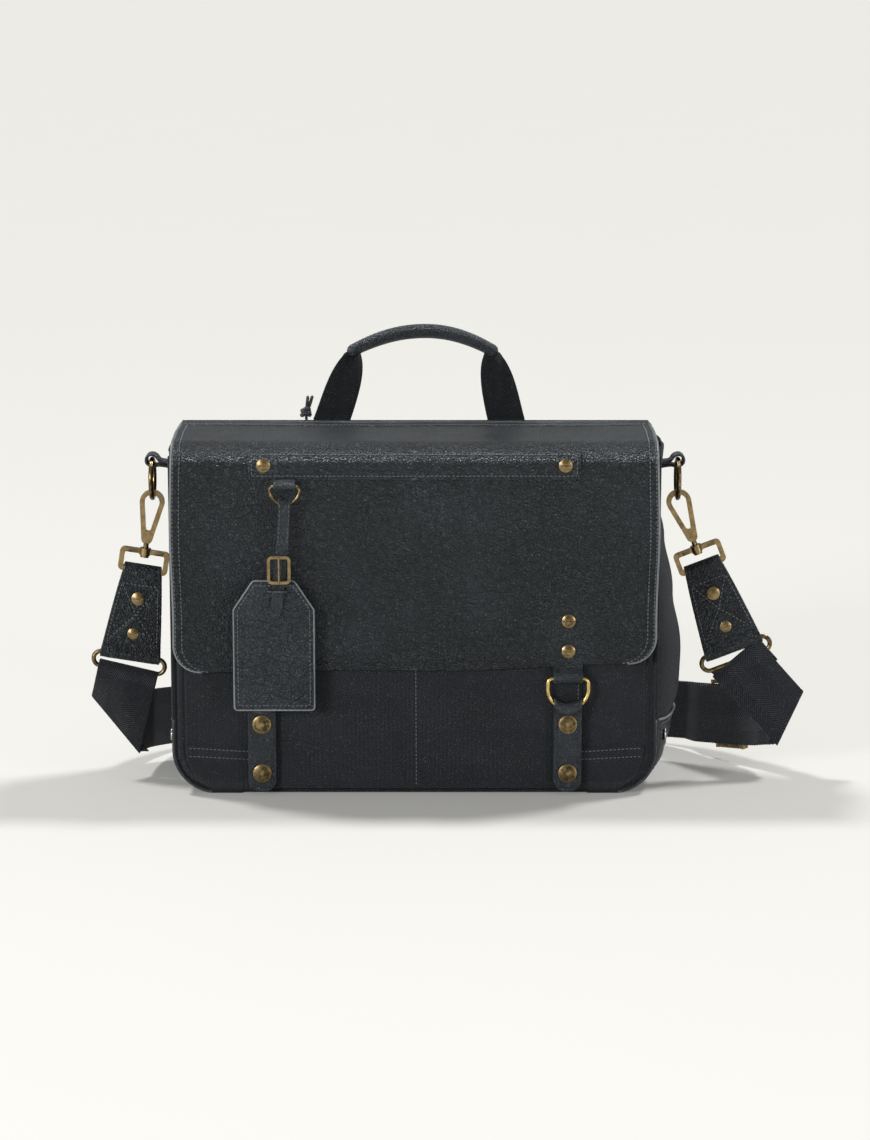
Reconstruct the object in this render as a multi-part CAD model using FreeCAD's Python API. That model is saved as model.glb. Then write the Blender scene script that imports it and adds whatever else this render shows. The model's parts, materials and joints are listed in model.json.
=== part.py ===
import FreeCAD, Part
import math
import os

# Messenger bag: canvas body, leather flap and trim, brass fittings, carrying handle and
# shoulder strap.  Millimetres.  +X right, -Y front, +Z up; the origin is the middle of
# the base, on the surface that the bag stands on.

Vector = FreeCAD.Vector
X_AXIS = Vector(1, 0, 0)
Y_AXIS = Vector(0, 1, 0)
Z_AXIS = Vector(0, 0, 1)
ORIGIN = Vector(0, 0, 0)

# ---------------------------------------------------------------- driving sizes
BODY_WIDTH = 396.0          # over the gussets
BODY_DEPTH = 116.0          # front panel face to back panel face
BODY_HEIGHT = 284.0         # top edge of the panels
CORNER_RADIUS = 36.0        # bottom corners, seen from the front
PANEL = 3.0                 # canvas with its foam backing
CLEAR = 0.3                 # soft pieces that lie against each other
AIR = 0.6                   # pieces that swing past each other

GUARD = 1.8                 # leather corner guards
GUARD_HEIGHT = 62.0
GUARD_RIVET_HEIGHT = 48.0
GUARD_RIVET_INSET = 12.0
LINING = 0.8
LINING_DROP = 6.0           # below the panels' top edge
BOARD = 2.4                 # stiffener in the base
BOARD_MARGIN = 6.0
DIVIDER = 8.0               # padded divider of the laptop sleeve
DIVIDER_DROP = 58.0         # top of the divider below the panels' top edge
DIVIDER_CORNER = 12.0
SLEEVE_DEPTH = 26.0         # space between divider and back panel
POCKET = 1.4                # slip pocket on the front
POCKET_WIDTH = 272.0
POCKET_BOTTOM = 5.0
POCKET_TOP = 205.0

FLAP = 2.6                  # flap leather
FLAP_SIDE_INSET = 2.0
FLAP_RISE = 5.0             # flap above the panels' top edge
FLAP_STANDOFF = 5.4         # inside of the flap's front in front of the front panel
FLAP_BOTTOM = 105.0
FLAP_CORNER = 22.0
FLAP_BACK_SETBACK = 2.0
FOLD_INSET = 1.0            # fold line inside the corner of the two halves
FOLD_GAP = 3.0              # from the fold line to either half of the flap

STRIP = 1.8                 # leather strip across the flap
STRIP_LENGTH = 266.0
STRIP_HEIGHT = 23.0
STRIP_DROP = 4.0            # below the underside of the flap's top
STRIP_RIVET_SPACING = 242.0
SMALL_CORNER = 1.5          # corners of the small cut pieces

RIVET_RADIUS = 5.5
RIVET_RISE = 2.0
RIVET_RIM = 0.6
SLOT_WIDTH = 1.2
SLOT_DEPTH = 0.8

TAB_SPACING = 249.0         # between the closure tabs' centre lines
TAB_WIDTH = 23.0
TAB_BOTTOM = 4.0
TAB_THICKNESS = 3.0
TAB_FOLD_WIDTH = 12.0       # the fold round the ring is narrower than the tab
TAB_BASE_WIDTH = 21.0
TAB_BASE = 1.6
TAB_BASE_TOP = 66.0
TAB_BASE_BOTTOM = 9.0
SNAP_UPPER = 60.0
SNAP_LOWER = 19.0
SNAP_RADIUS = 7.5
SNAP_RISE = 2.2
SNAP_RIM = 0.8
STUD_RADIUS = 4.2
TAB_SHOULDER = 2.0          # corner radius where the tab widens
TAB_TIP_FLAT = 1.0          # half of the flat left between a round end's two corners
D_RING_CORNER = 4.0
CLOSURE_BAR = 98.0          # height of the closure ring's straight bar
CLOSURE_RING_WIDTH = 33.0   # centre line to centre line
CLOSURE_RING_DROP = 25.0    # bar to the lowest point, centre lines
CLOSURE_WIRE = 1.65
CLOSURE_LOOP_WIDTH = 24.0
CLOSURE_LOOP_TOP = 160.0
CLOSURE_RIVET_LOW = 121.0
CLOSURE_RIVET_HIGH = 146.0
LEATHER_LOOP = 1.8          # wall of the leather loops that hold a ring

TAG_X = -104.0
TAG_WIRE = 1.1
TAG_RING_WIDTH = 24.0
TAG_RING_DROP = 14.5
TAG_BAR_DROP = 4.0          # ring bar below the strip's lower edge
TAG_LOOP_WIDTH = 17.0
TAG_STRAP_WIDTH = 10.0
TAG_STRAP = 2.0
TAG_STRAP_LENGTH = 96.0
TAG_STRAP_SLANT = 8.0       # sideways run of the strap over its length
TAG_BUCKLE_WIDTH = 18.9
TAG_BUCKLE_HEIGHT = 23.0
TAG_BUCKLE_TOP = 46.0       # below the top of the strap
TAG_BUCKLE_WIRE = 1.2
TAG_BUCKLE_CORNER = 4.0
PRONG_RADIUS = 0.8
PRONG_INSET = 1.0           # ends of the prong inside the frame's edges
TAG_PLATE = 2.0
TAG_PLATE_WIDTH = 65.0
TAG_PLATE_HEIGHT = 107.0
TAG_PLATE_TOP = 67.0        # below the top of the strap
TAG_PLATE_CHAMFER = 16.0
TAG_PLATE_CHAMFER_DROP = 24.0
TAG_PLATE_CORNER = 2.0
TAG_PLATE_SHIFT = -9.5
TAG_ROOM = 2.5              # lets the closure ring behind the tag swing a little

HANDLE_X = 3.0
HANDLE_SPAN = 146.0         # between the middles of the webbing bases
HANDLE_WEB_WIDTH = 32.0
HANDLE_WEB_NECK = 14.0
HANDLE_NECK_CORNER = 3.0
HANDLE_WEB = 2.4
HANDLE_PIVOT_RISE = 10.0    # these three are above the panels' top edge
HANDLE_GRIP_RISE = 62.0
HANDLE_PEAK_RISE = 82.0
HANDLE_GRIP_SPAN = 120.0
GRIP_RADIUS = 4.8
GRIP_CORE_RADIUS = 3.2
HANDLE_STANDOFF = 4.0       # handle plane behind the back panel
HANDLE_ANCHOR_DROP = 10.0

ZIP_DROP = 26.0             # below the panels' top edge
ZIP_SIDE_INSET = 33.0
ZIP_TAPE = 0.8
ZIP_TAPE_HEIGHT = 26.0
ZIP_TEETH = 1.6
ZIP_TEETH_HEIGHT = 5.0
ZIP_TEETH_INSET = 6.0       # ends of the teeth inside the tape
ZIP_TEETH_GAP = 0.1
ZIP_PARK = -92.0
SLIDER_LENGTH = 12.0
SLIDER_HEIGHT = 9.0
SLIDER_DEPTH = 4.6
LACE_RADIUS = 1.2
LACE_AIR = 1.5
EAR = 1.1
EAR_ROOT = 0.5              # ears sunk in the slider's body
PULL_PIN = 0.7
LACE_SPREAD = 2.2
KNOT_RADIUS = 4.6
KNOT_FLAT = 0.4             # flat on the knot's underside, where the lace goes in
LACE_TAIL = 13.0            # cut ends above the end of the lace

RING_STANDOFF = 18.0        # ring outside the gusset
RING_DROP = 32.0            # ring centre below the panels' top edge
RING_RADIUS = 16.0
RING_WIRE = 2.0
RING_TAB_WIDTH = 14.0
RING_TAB_WALL = 1.8
RING_TAB_TAIL = 14.0        # tab below the ring's centre
RING_TAB_PLATE = 2.4
RING_TAB_HEAD = 3.0         # tab above the fold's middle

HOOK_TILT_RIGHT = 21.0
HOOK_TILT_LEFT = 9.0
HOOK_THICKNESS = 4.0
HOOK_EYE = 6.2
HOOK_BAR = 4.0
HOOK_LENGTH = 31.0
HOOK_FOOT = 4.6
HOOK_EYE_LENGTH = 22.5
HOOK_EYE_FOOT = 2.0
HOOK_SEAT = 0.6             # free space between hook and ring
GATE_TOP = -5.0
GATE_PIN = -20.5
GATE_SLIM = 0.4             # the gate is thinner than the hook on both faces
GATE_EYE_EXTRA = 0.1        # the gate's round end over half the bar
POST_RADIUS = 2.2
POST_CLEAR = 0.3
POST_ROOT = 1.0             # post sunk in the hook's foot
POST_HEAD_RIM = 1.4
POST_HEAD = 1.6
SWIVEL_BAR = -42.0
SWIVEL_INNER_WIDTH = 33.0
SWIVEL_INNER_HEIGHT = 12.0
SWIVEL_WIRE = 2.0
SWIVEL_CORNER = 4.0
BOSS_WALL = 2.4
BOSS_RISE = 1.0             # boss over the bar's two faces
STRAP_END_TOP_WIDTH = 31.0
STRAP_END_BOTTOM_WIDTH = 50.0
STRAP_END_LENGTH = 73.0     # between the two folds' bars
STRAP_END = 5.0
STRAP_END_STRAIGHT = 14.0   # full width kept above the lower fold
STRAP_END_SHOULDER = 20.0
FOLD_WALL = 2.2
STRAP_RIVET_UPPER = 24.0
STRAP_RIVET_LOWER = 54.0
STRAP_RING_WIRE = 1.9
STRAP_RING_RISE = 12.5
STRAP_RING_WIDTH = 59.5

WEB_WIDTH = 50.0
WEB = 1.8
FOLD_AIR = 0.6              # between the two layers at a fold
FOLD_LAP = 6.0              # back layer past the inner end of the fold
FOLD_OUT_RIGHT = 96.0       # outside the side ring
FOLD_Z_RIGHT = 50.0
FOLD_OUT_LEFT = 34.0
FOLD_Z_LEFT = 45.0
ADJUSTER_LENGTH = 34.0
ADJUSTER_BAR = 3.0
ADJUSTER_ROOM = 0.8         # over the webbing's edges
ADJUSTER_AT = 0.42          # place along the first stretch behind the right fold

# The strap's run behind the bag: side, distance out from the gusset, distance behind the
# back panel, and height of the lower edge.
STRAP_RUN = [
    (1, 90.0, -32.0, 20.0),
    (1, 42.0, 26.0, 10.0),
    (1, -20.0, 68.0, 3.0),
    (1, -106.0, 94.0, 0.8),
    (0, 0.0, 102.0, 0.8),
    (-1, -106.0, 92.0, 0.8),
    (-1, -30.0, 60.0, 3.0),
    (-1, 16.0, 10.0, 10.0),
]

# ---------------------------------------------------------------- worked-out places
HALF_WIDTH = BODY_WIDTH / 2
HALF_DEPTH = BODY_DEPTH / 2
FRONT_IN = -HALF_DEPTH + PANEL
BACK_IN = HALF_DEPTH - PANEL
POCKET_FRONT = -HALF_DEPTH - CLEAR - POCKET
TAB_BASE_FRONT = POCKET_FRONT - CLEAR - TAB_BASE
FLAP_IN = -HALF_DEPTH - FLAP_STANDOFF
FLAP_OUT = FLAP_IN - FLAP
FLAP_UNDER = BODY_HEIGHT + FLAP_RISE
FLAP_OVER = FLAP_UNDER + FLAP
FLAP_BACK = HALF_DEPTH - FLAP_BACK_SETBACK
FLAP_WIDTH = BODY_WIDTH - 2 * FLAP_SIDE_INSET
FOLD_Y = FLAP_IN + FOLD_INSET
FOLD_Z = FLAP_UNDER - FOLD_INSET
STRIP_BACK = FLAP_OUT - CLEAR
STRIP_FRONT = STRIP_BACK - STRIP
STRIP_TOP = FLAP_UNDER - STRIP_DROP
STRIP_BOTTOM = STRIP_TOP - STRIP_HEIGHT
TAG_BAR_Z = STRIP_BOTTOM - TAG_BAR_DROP
HANDLE_Y = HALF_DEPTH + HANDLE_STANDOFF
HANDLE_PIVOT = BODY_HEIGHT + HANDLE_PIVOT_RISE
HANDLE_GRIP_HEIGHT = BODY_HEIGHT + HANDLE_GRIP_RISE
HANDLE_PEAK = BODY_HEIGHT + HANDLE_PEAK_RISE
ZIP_HEIGHT = BODY_HEIGHT - ZIP_DROP
ZIP_LENGTH = BODY_WIDTH - 2 * ZIP_SIDE_INSET
RING_X = HALF_WIDTH + RING_STANDOFF
RING_HEIGHT = BODY_HEIGHT - RING_DROP
RING_BOTTOM = RING_HEIGHT - RING_RADIUS
RING_TAB_BORE = RING_WIRE + CLEAR + RING_RADIUS - math.sqrt(RING_RADIUS ** 2 - (RING_TAB_WIDTH / 2) ** 2)


def round_sag(width, drop, corner, half):
    """Rise of a D-ring's round side at a distance from its lowest point."""
    chord = width / 2
    depth = drop - max(corner, drop - chord)
    radius = (chord ** 2 + depth ** 2) / (2 * depth)
    return radius - math.sqrt(radius ** 2 - half ** 2)


TAB_BORE = CLOSURE_WIRE + CLEAR + round_sag(
    CLOSURE_RING_WIDTH, CLOSURE_RING_DROP, D_RING_CORNER, TAB_FOLD_WIDTH / 2)
CLOSURE_Y = POCKET_FRONT - AIR - LEATHER_LOOP - TAB_BORE
TAG_BORE = TAG_WIRE + CLEAR + round_sag(
    TAG_RING_WIDTH, TAG_RING_DROP, D_RING_CORNER, TAG_STRAP_WIDTH / 2)
TAG_BAR_Y = min(STRIP_FRONT, CLOSURE_Y - LEATHER_LOOP - TAB_BORE) - AIR - TAG_PLATE - CLEAR - TAG_ROOM
TAG_STRAP_TOP = TAG_BAR_Z - TAG_RING_DROP + TAG_BORE + TAG_STRAP


# ---------------------------------------------------------------- shape helpers
def block(x0, x1, y0, y1, z0, z1):
    return Part.makeBox(x1 - x0, y1 - y0, z1 - z0, Vector(x0, y0, z0))


def rod(radius, start, direction, length):
    return Part.makeCylinder(radius, length, start, direction)


def rounded_wire(points, radii):
    """Closed wire in the XZ plane through (x, z) points, each corner with its own radius."""
    count = len(points)
    edges = []
    ends = []
    for i in range(count):
        here = Vector(points[i][0], 0, points[i][1])
        before = Vector(points[i - 1][0], 0, points[i - 1][1])
        after = Vector(points[(i + 1) % count][0], 0, points[(i + 1) % count][1])
        if radii[i] == 0:
            ends.append((here, here))
            continue
        back = (before - here).normalize()
        ahead = (after - here).normalize()
        half = back.getAngle(ahead) / 2
        reach = radii[i] / math.tan(half)
        centre = here + (back + ahead).normalize() * (radii[i] / math.sin(half))
        middle = centre + (here - centre).normalize() * radii[i]
        first = here + back * reach
        last = here + ahead * reach
        edges.append((i, Part.Arc(first, middle, last).toShape()))
        ends.append((first, last))
    arcs = dict(edges)
    ordered = []
    for i in range(count):
        if i in arcs:
            ordered.append(arcs[i])
        start = ends[i][1]
        stop = ends[(i + 1) % count][0]
        if (stop - start).Length > 1e-6:
            ordered.append(Part.LineSegment(start, stop).toShape())
    return Part.Wire(ordered)


def plate(points, radii, y0, y1):
    """Flat piece with a rounded outline in XZ, from y0 to y1."""
    face = Part.Face(rounded_wire(points, radii))
    face.translate(Vector(0, y0, 0))
    return face.extrude(Vector(0, y1 - y0, 0))


def panel_outline(inset):
    """Body outline seen from the front, moved inwards by inset."""
    half = HALF_WIDTH - inset
    radius = CORNER_RADIUS - inset
    points = [(-half, BODY_HEIGHT), (-half, inset), (half, inset), (half, BODY_HEIGHT)]
    return points, [0, radius, radius, 0]


def loop_tube(outer, inner, length, centre, direction):
    """Short tube, centred on a point."""
    start = centre - direction * (length / 2)
    hollow = rod(outer, start, direction, length)
    return hollow.cut(rod(inner, start, direction, length))


def head_profile(radius, rise, rim):
    """Half section of a round domed head standing on the XY plane."""
    dome = rise - rim
    ball = (radius ** 2 + dome ** 2) / (2 * dome)
    half = math.asin(radius / ball) / 2
    top = Vector(0, 0, rise)
    edge = Vector(radius, 0, rim)
    middle = Vector(ball * math.sin(half), 0, rise - ball + ball * math.cos(half))
    foot = Vector(radius, 0, 0)
    return Part.Wire([
        Part.Arc(top, middle, edge).toShape(),
        Part.LineSegment(edge, foot).toShape(),
        Part.LineSegment(foot, ORIGIN).toShape(),
        Part.LineSegment(ORIGIN, top).toShape(),
    ])


def domed_head(centre, direction, radius, rise, rim):
    head = Part.Face(head_profile(radius, rise, rim)).revolve(ORIGIN, Z_AXIS, 360)
    if head.Volume < 0:
        head.reverse()
    head.Placement = FreeCAD.Placement(centre, FreeCAD.Rotation(Z_AXIS, direction))
    return head


def rivet(centre, direction, radius=RIVET_RADIUS, rise=RIVET_RISE):
    """Slotted screw rivet: a domed head standing on the leather at centre."""
    head = domed_head(centre, direction, radius, rise, RIVET_RIM)
    across = direction.cross(Z_AXIS if abs(direction.z) < 0.9 else X_AXIS).normalize()
    along = direction.cross(across)
    slot = Part.makeBox(2 * radius, SLOT_WIDTH, SLOT_DEPTH + 1.0)
    slot.Placement = FreeCAD.Placement(
        centre + direction * (rise - SLOT_DEPTH) - across * radius - along * (SLOT_WIDTH / 2),
        FreeCAD.Rotation(across, along, direction),
    )
    return head.cut(slot)


def d_ring(width, drop, wire, bar_centre):
    """D-shaped ring in the XZ plane: straight bar on top, round below."""
    half = width / 2
    corner = D_RING_CORNER
    x, y, z = bar_centre
    shoulder = drop - half
    left_top = Vector(x - half, y, z - corner)
    right_top = Vector(x + half, y, z - corner)
    low = Vector(x, y, z - drop)
    path = Part.Wire([
        Part.LineSegment(Vector(x - half + corner, y, z), Vector(x + half - corner, y, z)).toShape(),
        corner_arc(Vector(x + half - corner, y, z - corner), corner, 90, 0),
        *side_run(right_top, Vector(x + half, y, z - max(corner, shoulder))),
        bow(Vector(x + half, y, z - max(corner, shoulder)), low,
            Vector(x - half, y, z - max(corner, shoulder))),
        *side_run(Vector(x - half, y, z - max(corner, shoulder)), left_top),
        corner_arc(Vector(x - half + corner, y, z - corner), corner, 180, 90),
    ])
    return sweep(path, wire)


def corner_arc(centre, radius, start, stop):
    """Arc in the XZ plane between two angles measured from +X towards +Z."""
    angles = [math.radians(a) for a in (start, (start + stop) / 2, stop)]
    spots = [centre + Vector(math.cos(a), 0, math.sin(a)) * radius for a in angles]
    return Part.Arc(*spots).toShape()


def bow(start, low, stop):
    return Part.Arc(start, low, stop).toShape()


def side_run(start, stop):
    if (stop - start).Length < 1e-6:
        return []
    return [Part.LineSegment(start, stop).toShape()]


def sweep(path, radius):
    """Round bar along a wire."""
    first = path.OrderedEdges[0]
    start = first.valueAt(first.FirstParameter)
    tangent = first.tangentAt(first.FirstParameter)
    if path.OrderedVertexes[0].Point.distanceToPoint(start) > 1e-4:
        start = first.valueAt(first.LastParameter)
        tangent = first.tangentAt(first.LastParameter)
    circle = Part.Wire(Part.Circle(start, tangent, radius).toShape())
    return path.makePipeShell([circle], True, False, 2)


def save(name, *solids):
    shape = solids[0] if len(solids) == 1 else Part.makeCompound(list(solids))
    shape.exportStep("parts/" + name + ".step")
    print(name, round(shape.Volume, 1), "valid" if shape.isValid() else "NOT VALID")


# ---------------------------------------------------------------- body
def panel(y0, y1):
    points, radii = panel_outline(0)
    return plate(points, radii, y0, y1)


def gusset(side):
    """Side of the body with its rounded bottom corner, between the two panels."""
    outer = plate(*panel_outline(GUARD), FRONT_IN, BACK_IN)
    inner = plate(*panel_outline(GUARD + PANEL), FRONT_IN, BACK_IN)
    shell = outer.cut(inner)
    start = HALF_WIDTH - CORNER_RADIUS
    keep = block(start, BODY_WIDTH, FRONT_IN, BACK_IN, -1, BODY_HEIGHT)
    if side < 0:
        keep = keep.mirror(ORIGIN, X_AXIS)
    return shell.common(keep)


def corner_guard(side):
    """Leather patch round the bottom corner of a gusset."""
    outer = plate(*panel_outline(0), FRONT_IN, BACK_IN)
    inner = plate(*panel_outline(GUARD), FRONT_IN, BACK_IN)
    start = HALF_WIDTH - CORNER_RADIUS
    keep = block(start, BODY_WIDTH, FRONT_IN, BACK_IN, -1, GUARD_HEIGHT)
    shape = outer.cut(inner).common(keep)
    return shape if side > 0 else shape.mirror(ORIGIN, X_AXIS)


def guard_rivets():
    rivets = []
    for side in (-1, 1):
        for end in (-1, 1):
            y = end * (HALF_DEPTH - PANEL - GUARD_RIVET_INSET)
            spot = Vector(side * HALF_WIDTH, y, GUARD_RIVET_HEIGHT)
            rivets.append(rivet(spot, X_AXIS * side))
    return rivets


def bottom_panel():
    half = HALF_WIDTH - CORNER_RADIUS
    return block(-half, half, FRONT_IN, BACK_IN, 0, PANEL)


def base_board():
    half = HALF_WIDTH - CORNER_RADIUS - BOARD_MARGIN
    low = PANEL + CLEAR
    return block(-half, half, FRONT_IN + BOARD_MARGIN, BACK_IN - BOARD_MARGIN, low, low + BOARD)


def lining():
    """Cloth bag inside the body, open at the top."""
    inset = GUARD + PANEL + CLEAR
    low = PANEL + CLEAR + BOARD + CLEAR
    top = BODY_HEIGHT - LINING_DROP
    outer_points = [(-HALF_WIDTH + inset, top), (-HALF_WIDTH + inset, low),
                    (HALF_WIDTH - inset, low), (HALF_WIDTH - inset, top)]
    radius = CORNER_RADIUS - inset
    outer = plate(outer_points, [0, radius, radius, 0], FRONT_IN + CLEAR, BACK_IN - CLEAR)
    inset += LINING
    low += LINING
    inner_points = [(-HALF_WIDTH + inset, BODY_HEIGHT), (-HALF_WIDTH + inset, low),
                    (HALF_WIDTH - inset, low), (HALF_WIDTH - inset, BODY_HEIGHT)]
    radius -= LINING
    inner = plate(inner_points, [0, radius, radius, 0],
                  FRONT_IN + CLEAR + LINING, BACK_IN - CLEAR - LINING)
    return outer.cut(inner)


def laptop_divider():
    half = HALF_WIDTH - GUARD - PANEL - 2 * CLEAR - LINING - AIR
    back = BACK_IN - CLEAR - LINING - SLEEVE_DEPTH
    low = PANEL + BOARD + 3 * CLEAR + LINING + AIR
    top = BODY_HEIGHT - DIVIDER_DROP
    points = [(-half, top), (-half, low), (half, low), (half, top)]
    radius = CORNER_RADIUS - GUARD - PANEL
    return plate(points, [DIVIDER_CORNER, radius, radius, DIVIDER_CORNER], back - DIVIDER, back)


def front_pocket():
    half = POCKET_WIDTH / 2
    return block(-half, half, POCKET_FRONT, -HALF_DEPTH - CLEAR, POCKET_BOTTOM, POCKET_TOP)


# ---------------------------------------------------------------- flap
def flap_top():
    half = FLAP_WIDTH / 2
    return block(-half, half, FOLD_Y + FOLD_GAP, FLAP_BACK, FLAP_UNDER, FLAP_OVER)


def flap_front():
    half = FLAP_WIDTH / 2
    top = FOLD_Z - FOLD_GAP
    points = [(-half, top), (-half, FLAP_BOTTOM), (half, FLAP_BOTTOM), (half, top)]
    return plate(points, [0, FLAP_CORNER, FLAP_CORNER, 0], FLAP_OUT, FLAP_IN)


def flap_strip():
    half = STRIP_LENGTH / 2
    points = [(-half, STRIP_TOP), (-half, STRIP_BOTTOM), (half, STRIP_BOTTOM), (half, STRIP_TOP)]
    return plate(points, [SMALL_CORNER] * 4, STRIP_FRONT, STRIP_BACK)


def strip_rivets():
    z = (STRIP_TOP + STRIP_BOTTOM) / 2
    half = STRIP_RIVET_SPACING / 2
    return [rivet(Vector(x, STRIP_FRONT, z), -Y_AXIS) for x in (-half, half)]


def closure_rivets():
    rivets = []
    for side in (-1, 1):
        for z in (CLOSURE_RIVET_LOW, CLOSURE_RIVET_HIGH):
            rivets.append(rivet(Vector(side * TAB_SPACING / 2, FLAP_OUT, z), -Y_AXIS))
    return rivets


# ---------------------------------------------------------------- closures
def closure_loop(side):
    """Leather under the flap whose folded lower end holds the closure ring."""
    x = side * TAB_SPACING / 2
    half = CLOSURE_LOOP_WIDTH / 2
    centre = Vector(x, CLOSURE_Y, CLOSURE_BAR)
    bore = CLOSURE_WIRE + CLEAR
    fold = loop_tube(bore + LEATHER_LOOP, bore, CLOSURE_LOOP_WIDTH, centre, X_AXIS)
    back = FLAP_IN + CLEAR
    leaf = block(x - half, x + half, back, back + LEATHER_LOOP, CLOSURE_BAR, CLOSURE_LOOP_TOP)
    hole = rod(bore, Vector(x - half - 1, CLOSURE_Y, CLOSURE_BAR), X_AXIS, CLOSURE_LOOP_WIDTH + 2)
    return fold.fuse(leaf).cut(hole).removeSplitter()


def closure_ring(side):
    centre = (side * TAB_SPACING / 2, CLOSURE_Y, CLOSURE_BAR)
    return d_ring(CLOSURE_RING_WIDTH, CLOSURE_RING_DROP, CLOSURE_WIRE, centre)


def closure_tab(side):
    """Strap folded over the ring's round side."""
    centre = Vector(side * TAB_SPACING / 2, CLOSURE_Y, CLOSURE_BAR - CLOSURE_RING_DROP)
    half = TAB_WIDTH / 2
    neck = TAB_FOLD_WIDTH / 2
    top = centre.z - TAB_BORE
    shoulder = top - (half - neck)
    back = tab_back()
    points = [(centre.x - neck, centre.z), (centre.x - neck, top), (centre.x - half, shoulder),
              (centre.x - half, TAB_BOTTOM), (centre.x + half, TAB_BOTTOM),
              (centre.x + half, shoulder), (centre.x + neck, top), (centre.x + neck, centre.z)]
    end = half - TAB_TIP_FLAT
    radii = [0, 0, TAB_SHOULDER, end, end, TAB_SHOULDER, 0, 0]
    strap = plate(points, radii, back - TAB_THICKNESS, back)
    fold = rod(TAB_BORE + LEATHER_LOOP, centre - X_AXIS * neck, X_AXIS, TAB_FOLD_WIDTH)
    hole = rod(TAB_BORE, centre - X_AXIS * TAB_WIDTH, X_AXIS, 2 * TAB_WIDTH)
    return strap.fuse(fold).cut(hole).removeSplitter()


def tab_back():
    return TAB_BASE_FRONT - AIR - CLEAR


def snaps(side):
    """Cap on the front of the tab and socket on its back, for both snaps."""
    x = side * TAB_SPACING / 2
    solids = []
    for z in (SNAP_LOWER, SNAP_UPPER):
        face = Vector(x, tab_back() - TAB_THICKNESS, z)
        solids.append(domed_head(face, -Y_AXIS, SNAP_RADIUS, SNAP_RISE, SNAP_RIM))
    return solids


def snap_base(side):
    """Leather strip on the front panel that carries the studs."""
    x = side * TAB_SPACING / 2
    half = TAB_BASE_WIDTH / 2
    points = [(x - half, TAB_BASE_TOP), (x - half, TAB_BASE_BOTTOM),
              (x + half, TAB_BASE_BOTTOM), (x + half, TAB_BASE_TOP)]
    end = half - TAB_TIP_FLAT
    return plate(points, [TAB_SHOULDER, end, end, TAB_SHOULDER], TAB_BASE_FRONT, TAB_BASE_FRONT + TAB_BASE)


def snap_studs():
    studs = []
    for side in (-1, 1):
        for z in (SNAP_LOWER, SNAP_UPPER):
            start = Vector(side * TAB_SPACING / 2, TAB_BASE_FRONT, z)
            studs.append(rod(STUD_RADIUS, start, -Y_AXIS, AIR / 2))
    return studs


# ---------------------------------------------------------------- tag
def tag_loop():
    """Leather loop that comes out under the strip and holds the tag's ring."""
    bore = TAG_WIRE + CLEAR
    centre = Vector(TAG_X, TAG_BAR_Y, TAG_BAR_Z)
    fold = loop_tube(bore + LEATHER_LOOP, bore, TAG_LOOP_WIDTH, centre, X_AXIS)
    half = TAG_LOOP_WIDTH / 2
    leaf = block(TAG_X - half, TAG_X + half, FLAP_OUT - CLEAR - LEATHER_LOOP, FLAP_OUT - CLEAR,
                 TAG_BAR_Z, STRIP_BOTTOM - CLEAR)
    reach = block(TAG_X - half, TAG_X + half, TAG_BAR_Y, FLAP_OUT - CLEAR,
                  TAG_BAR_Z - LEATHER_LOOP / 2, TAG_BAR_Z + LEATHER_LOOP / 2)
    hole = rod(bore, Vector(TAG_X - half - 1, TAG_BAR_Y, TAG_BAR_Z), X_AXIS, TAG_LOOP_WIDTH + 2)
    return fold.fuse([leaf, reach]).cut(hole).removeSplitter()


def tag_ring():
    return d_ring(TAG_RING_WIDTH, TAG_RING_DROP, TAG_WIRE, (TAG_X, TAG_BAR_Y, TAG_BAR_Z))


def tag_strap():
    """Narrow strap folded over the ring, slanting down to its rounded end."""
    half = TAG_STRAP_WIDTH / 2
    centre = Vector(TAG_X, TAG_BAR_Y, TAG_BAR_Z - TAG_RING_DROP)
    low = TAG_STRAP_TOP - TAG_STRAP_LENGTH
    points = [(TAG_X - half, centre.z), (TAG_X - half - TAG_STRAP_SLANT, low),
              (TAG_X + half - TAG_STRAP_SLANT, low), (TAG_X + half, centre.z)]
    strap = plate(points, [0, half - 0.5, half - 0.5, 0], TAG_BAR_Y - TAG_STRAP, TAG_BAR_Y)
    fold = rod(TAG_BORE + TAG_STRAP, centre - X_AXIS * half, X_AXIS, TAG_STRAP_WIDTH)
    hole = rod(TAG_BORE, centre - X_AXIS * TAG_STRAP_WIDTH, X_AXIS, 2 * TAG_STRAP_WIDTH)
    return strap.fuse(fold).cut(hole).removeSplitter()


def tag_buckle():
    """Rectangular buckle frame lying on the strap."""
    top = TAG_STRAP_TOP - TAG_BUCKLE_TOP
    x = TAG_X - TAG_STRAP_SLANT * (TAG_BUCKLE_TOP + TAG_BUCKLE_HEIGHT / 2) / TAG_STRAP_LENGTH
    y1 = TAG_BAR_Y - TAG_STRAP - CLEAR
    y0 = y1 - 2 * TAG_BUCKLE_WIRE
    half = TAG_BUCKLE_WIDTH / 2
    low = top - TAG_BUCKLE_HEIGHT
    outer = plate([(x - half, top), (x - half, low), (x + half, low), (x + half, top)],
                  [TAG_BUCKLE_CORNER] * 4, y0, y1)
    rim = 2 * TAG_BUCKLE_WIRE
    inner = plate([(x - half + rim, top - rim), (x - half + rim, low + rim),
                   (x + half - rim, low + rim), (x + half - rim, top - rim)],
                  [SMALL_CORNER] * 4, y0 - 1, y1 + 1)
    return outer.cut(inner)


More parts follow.
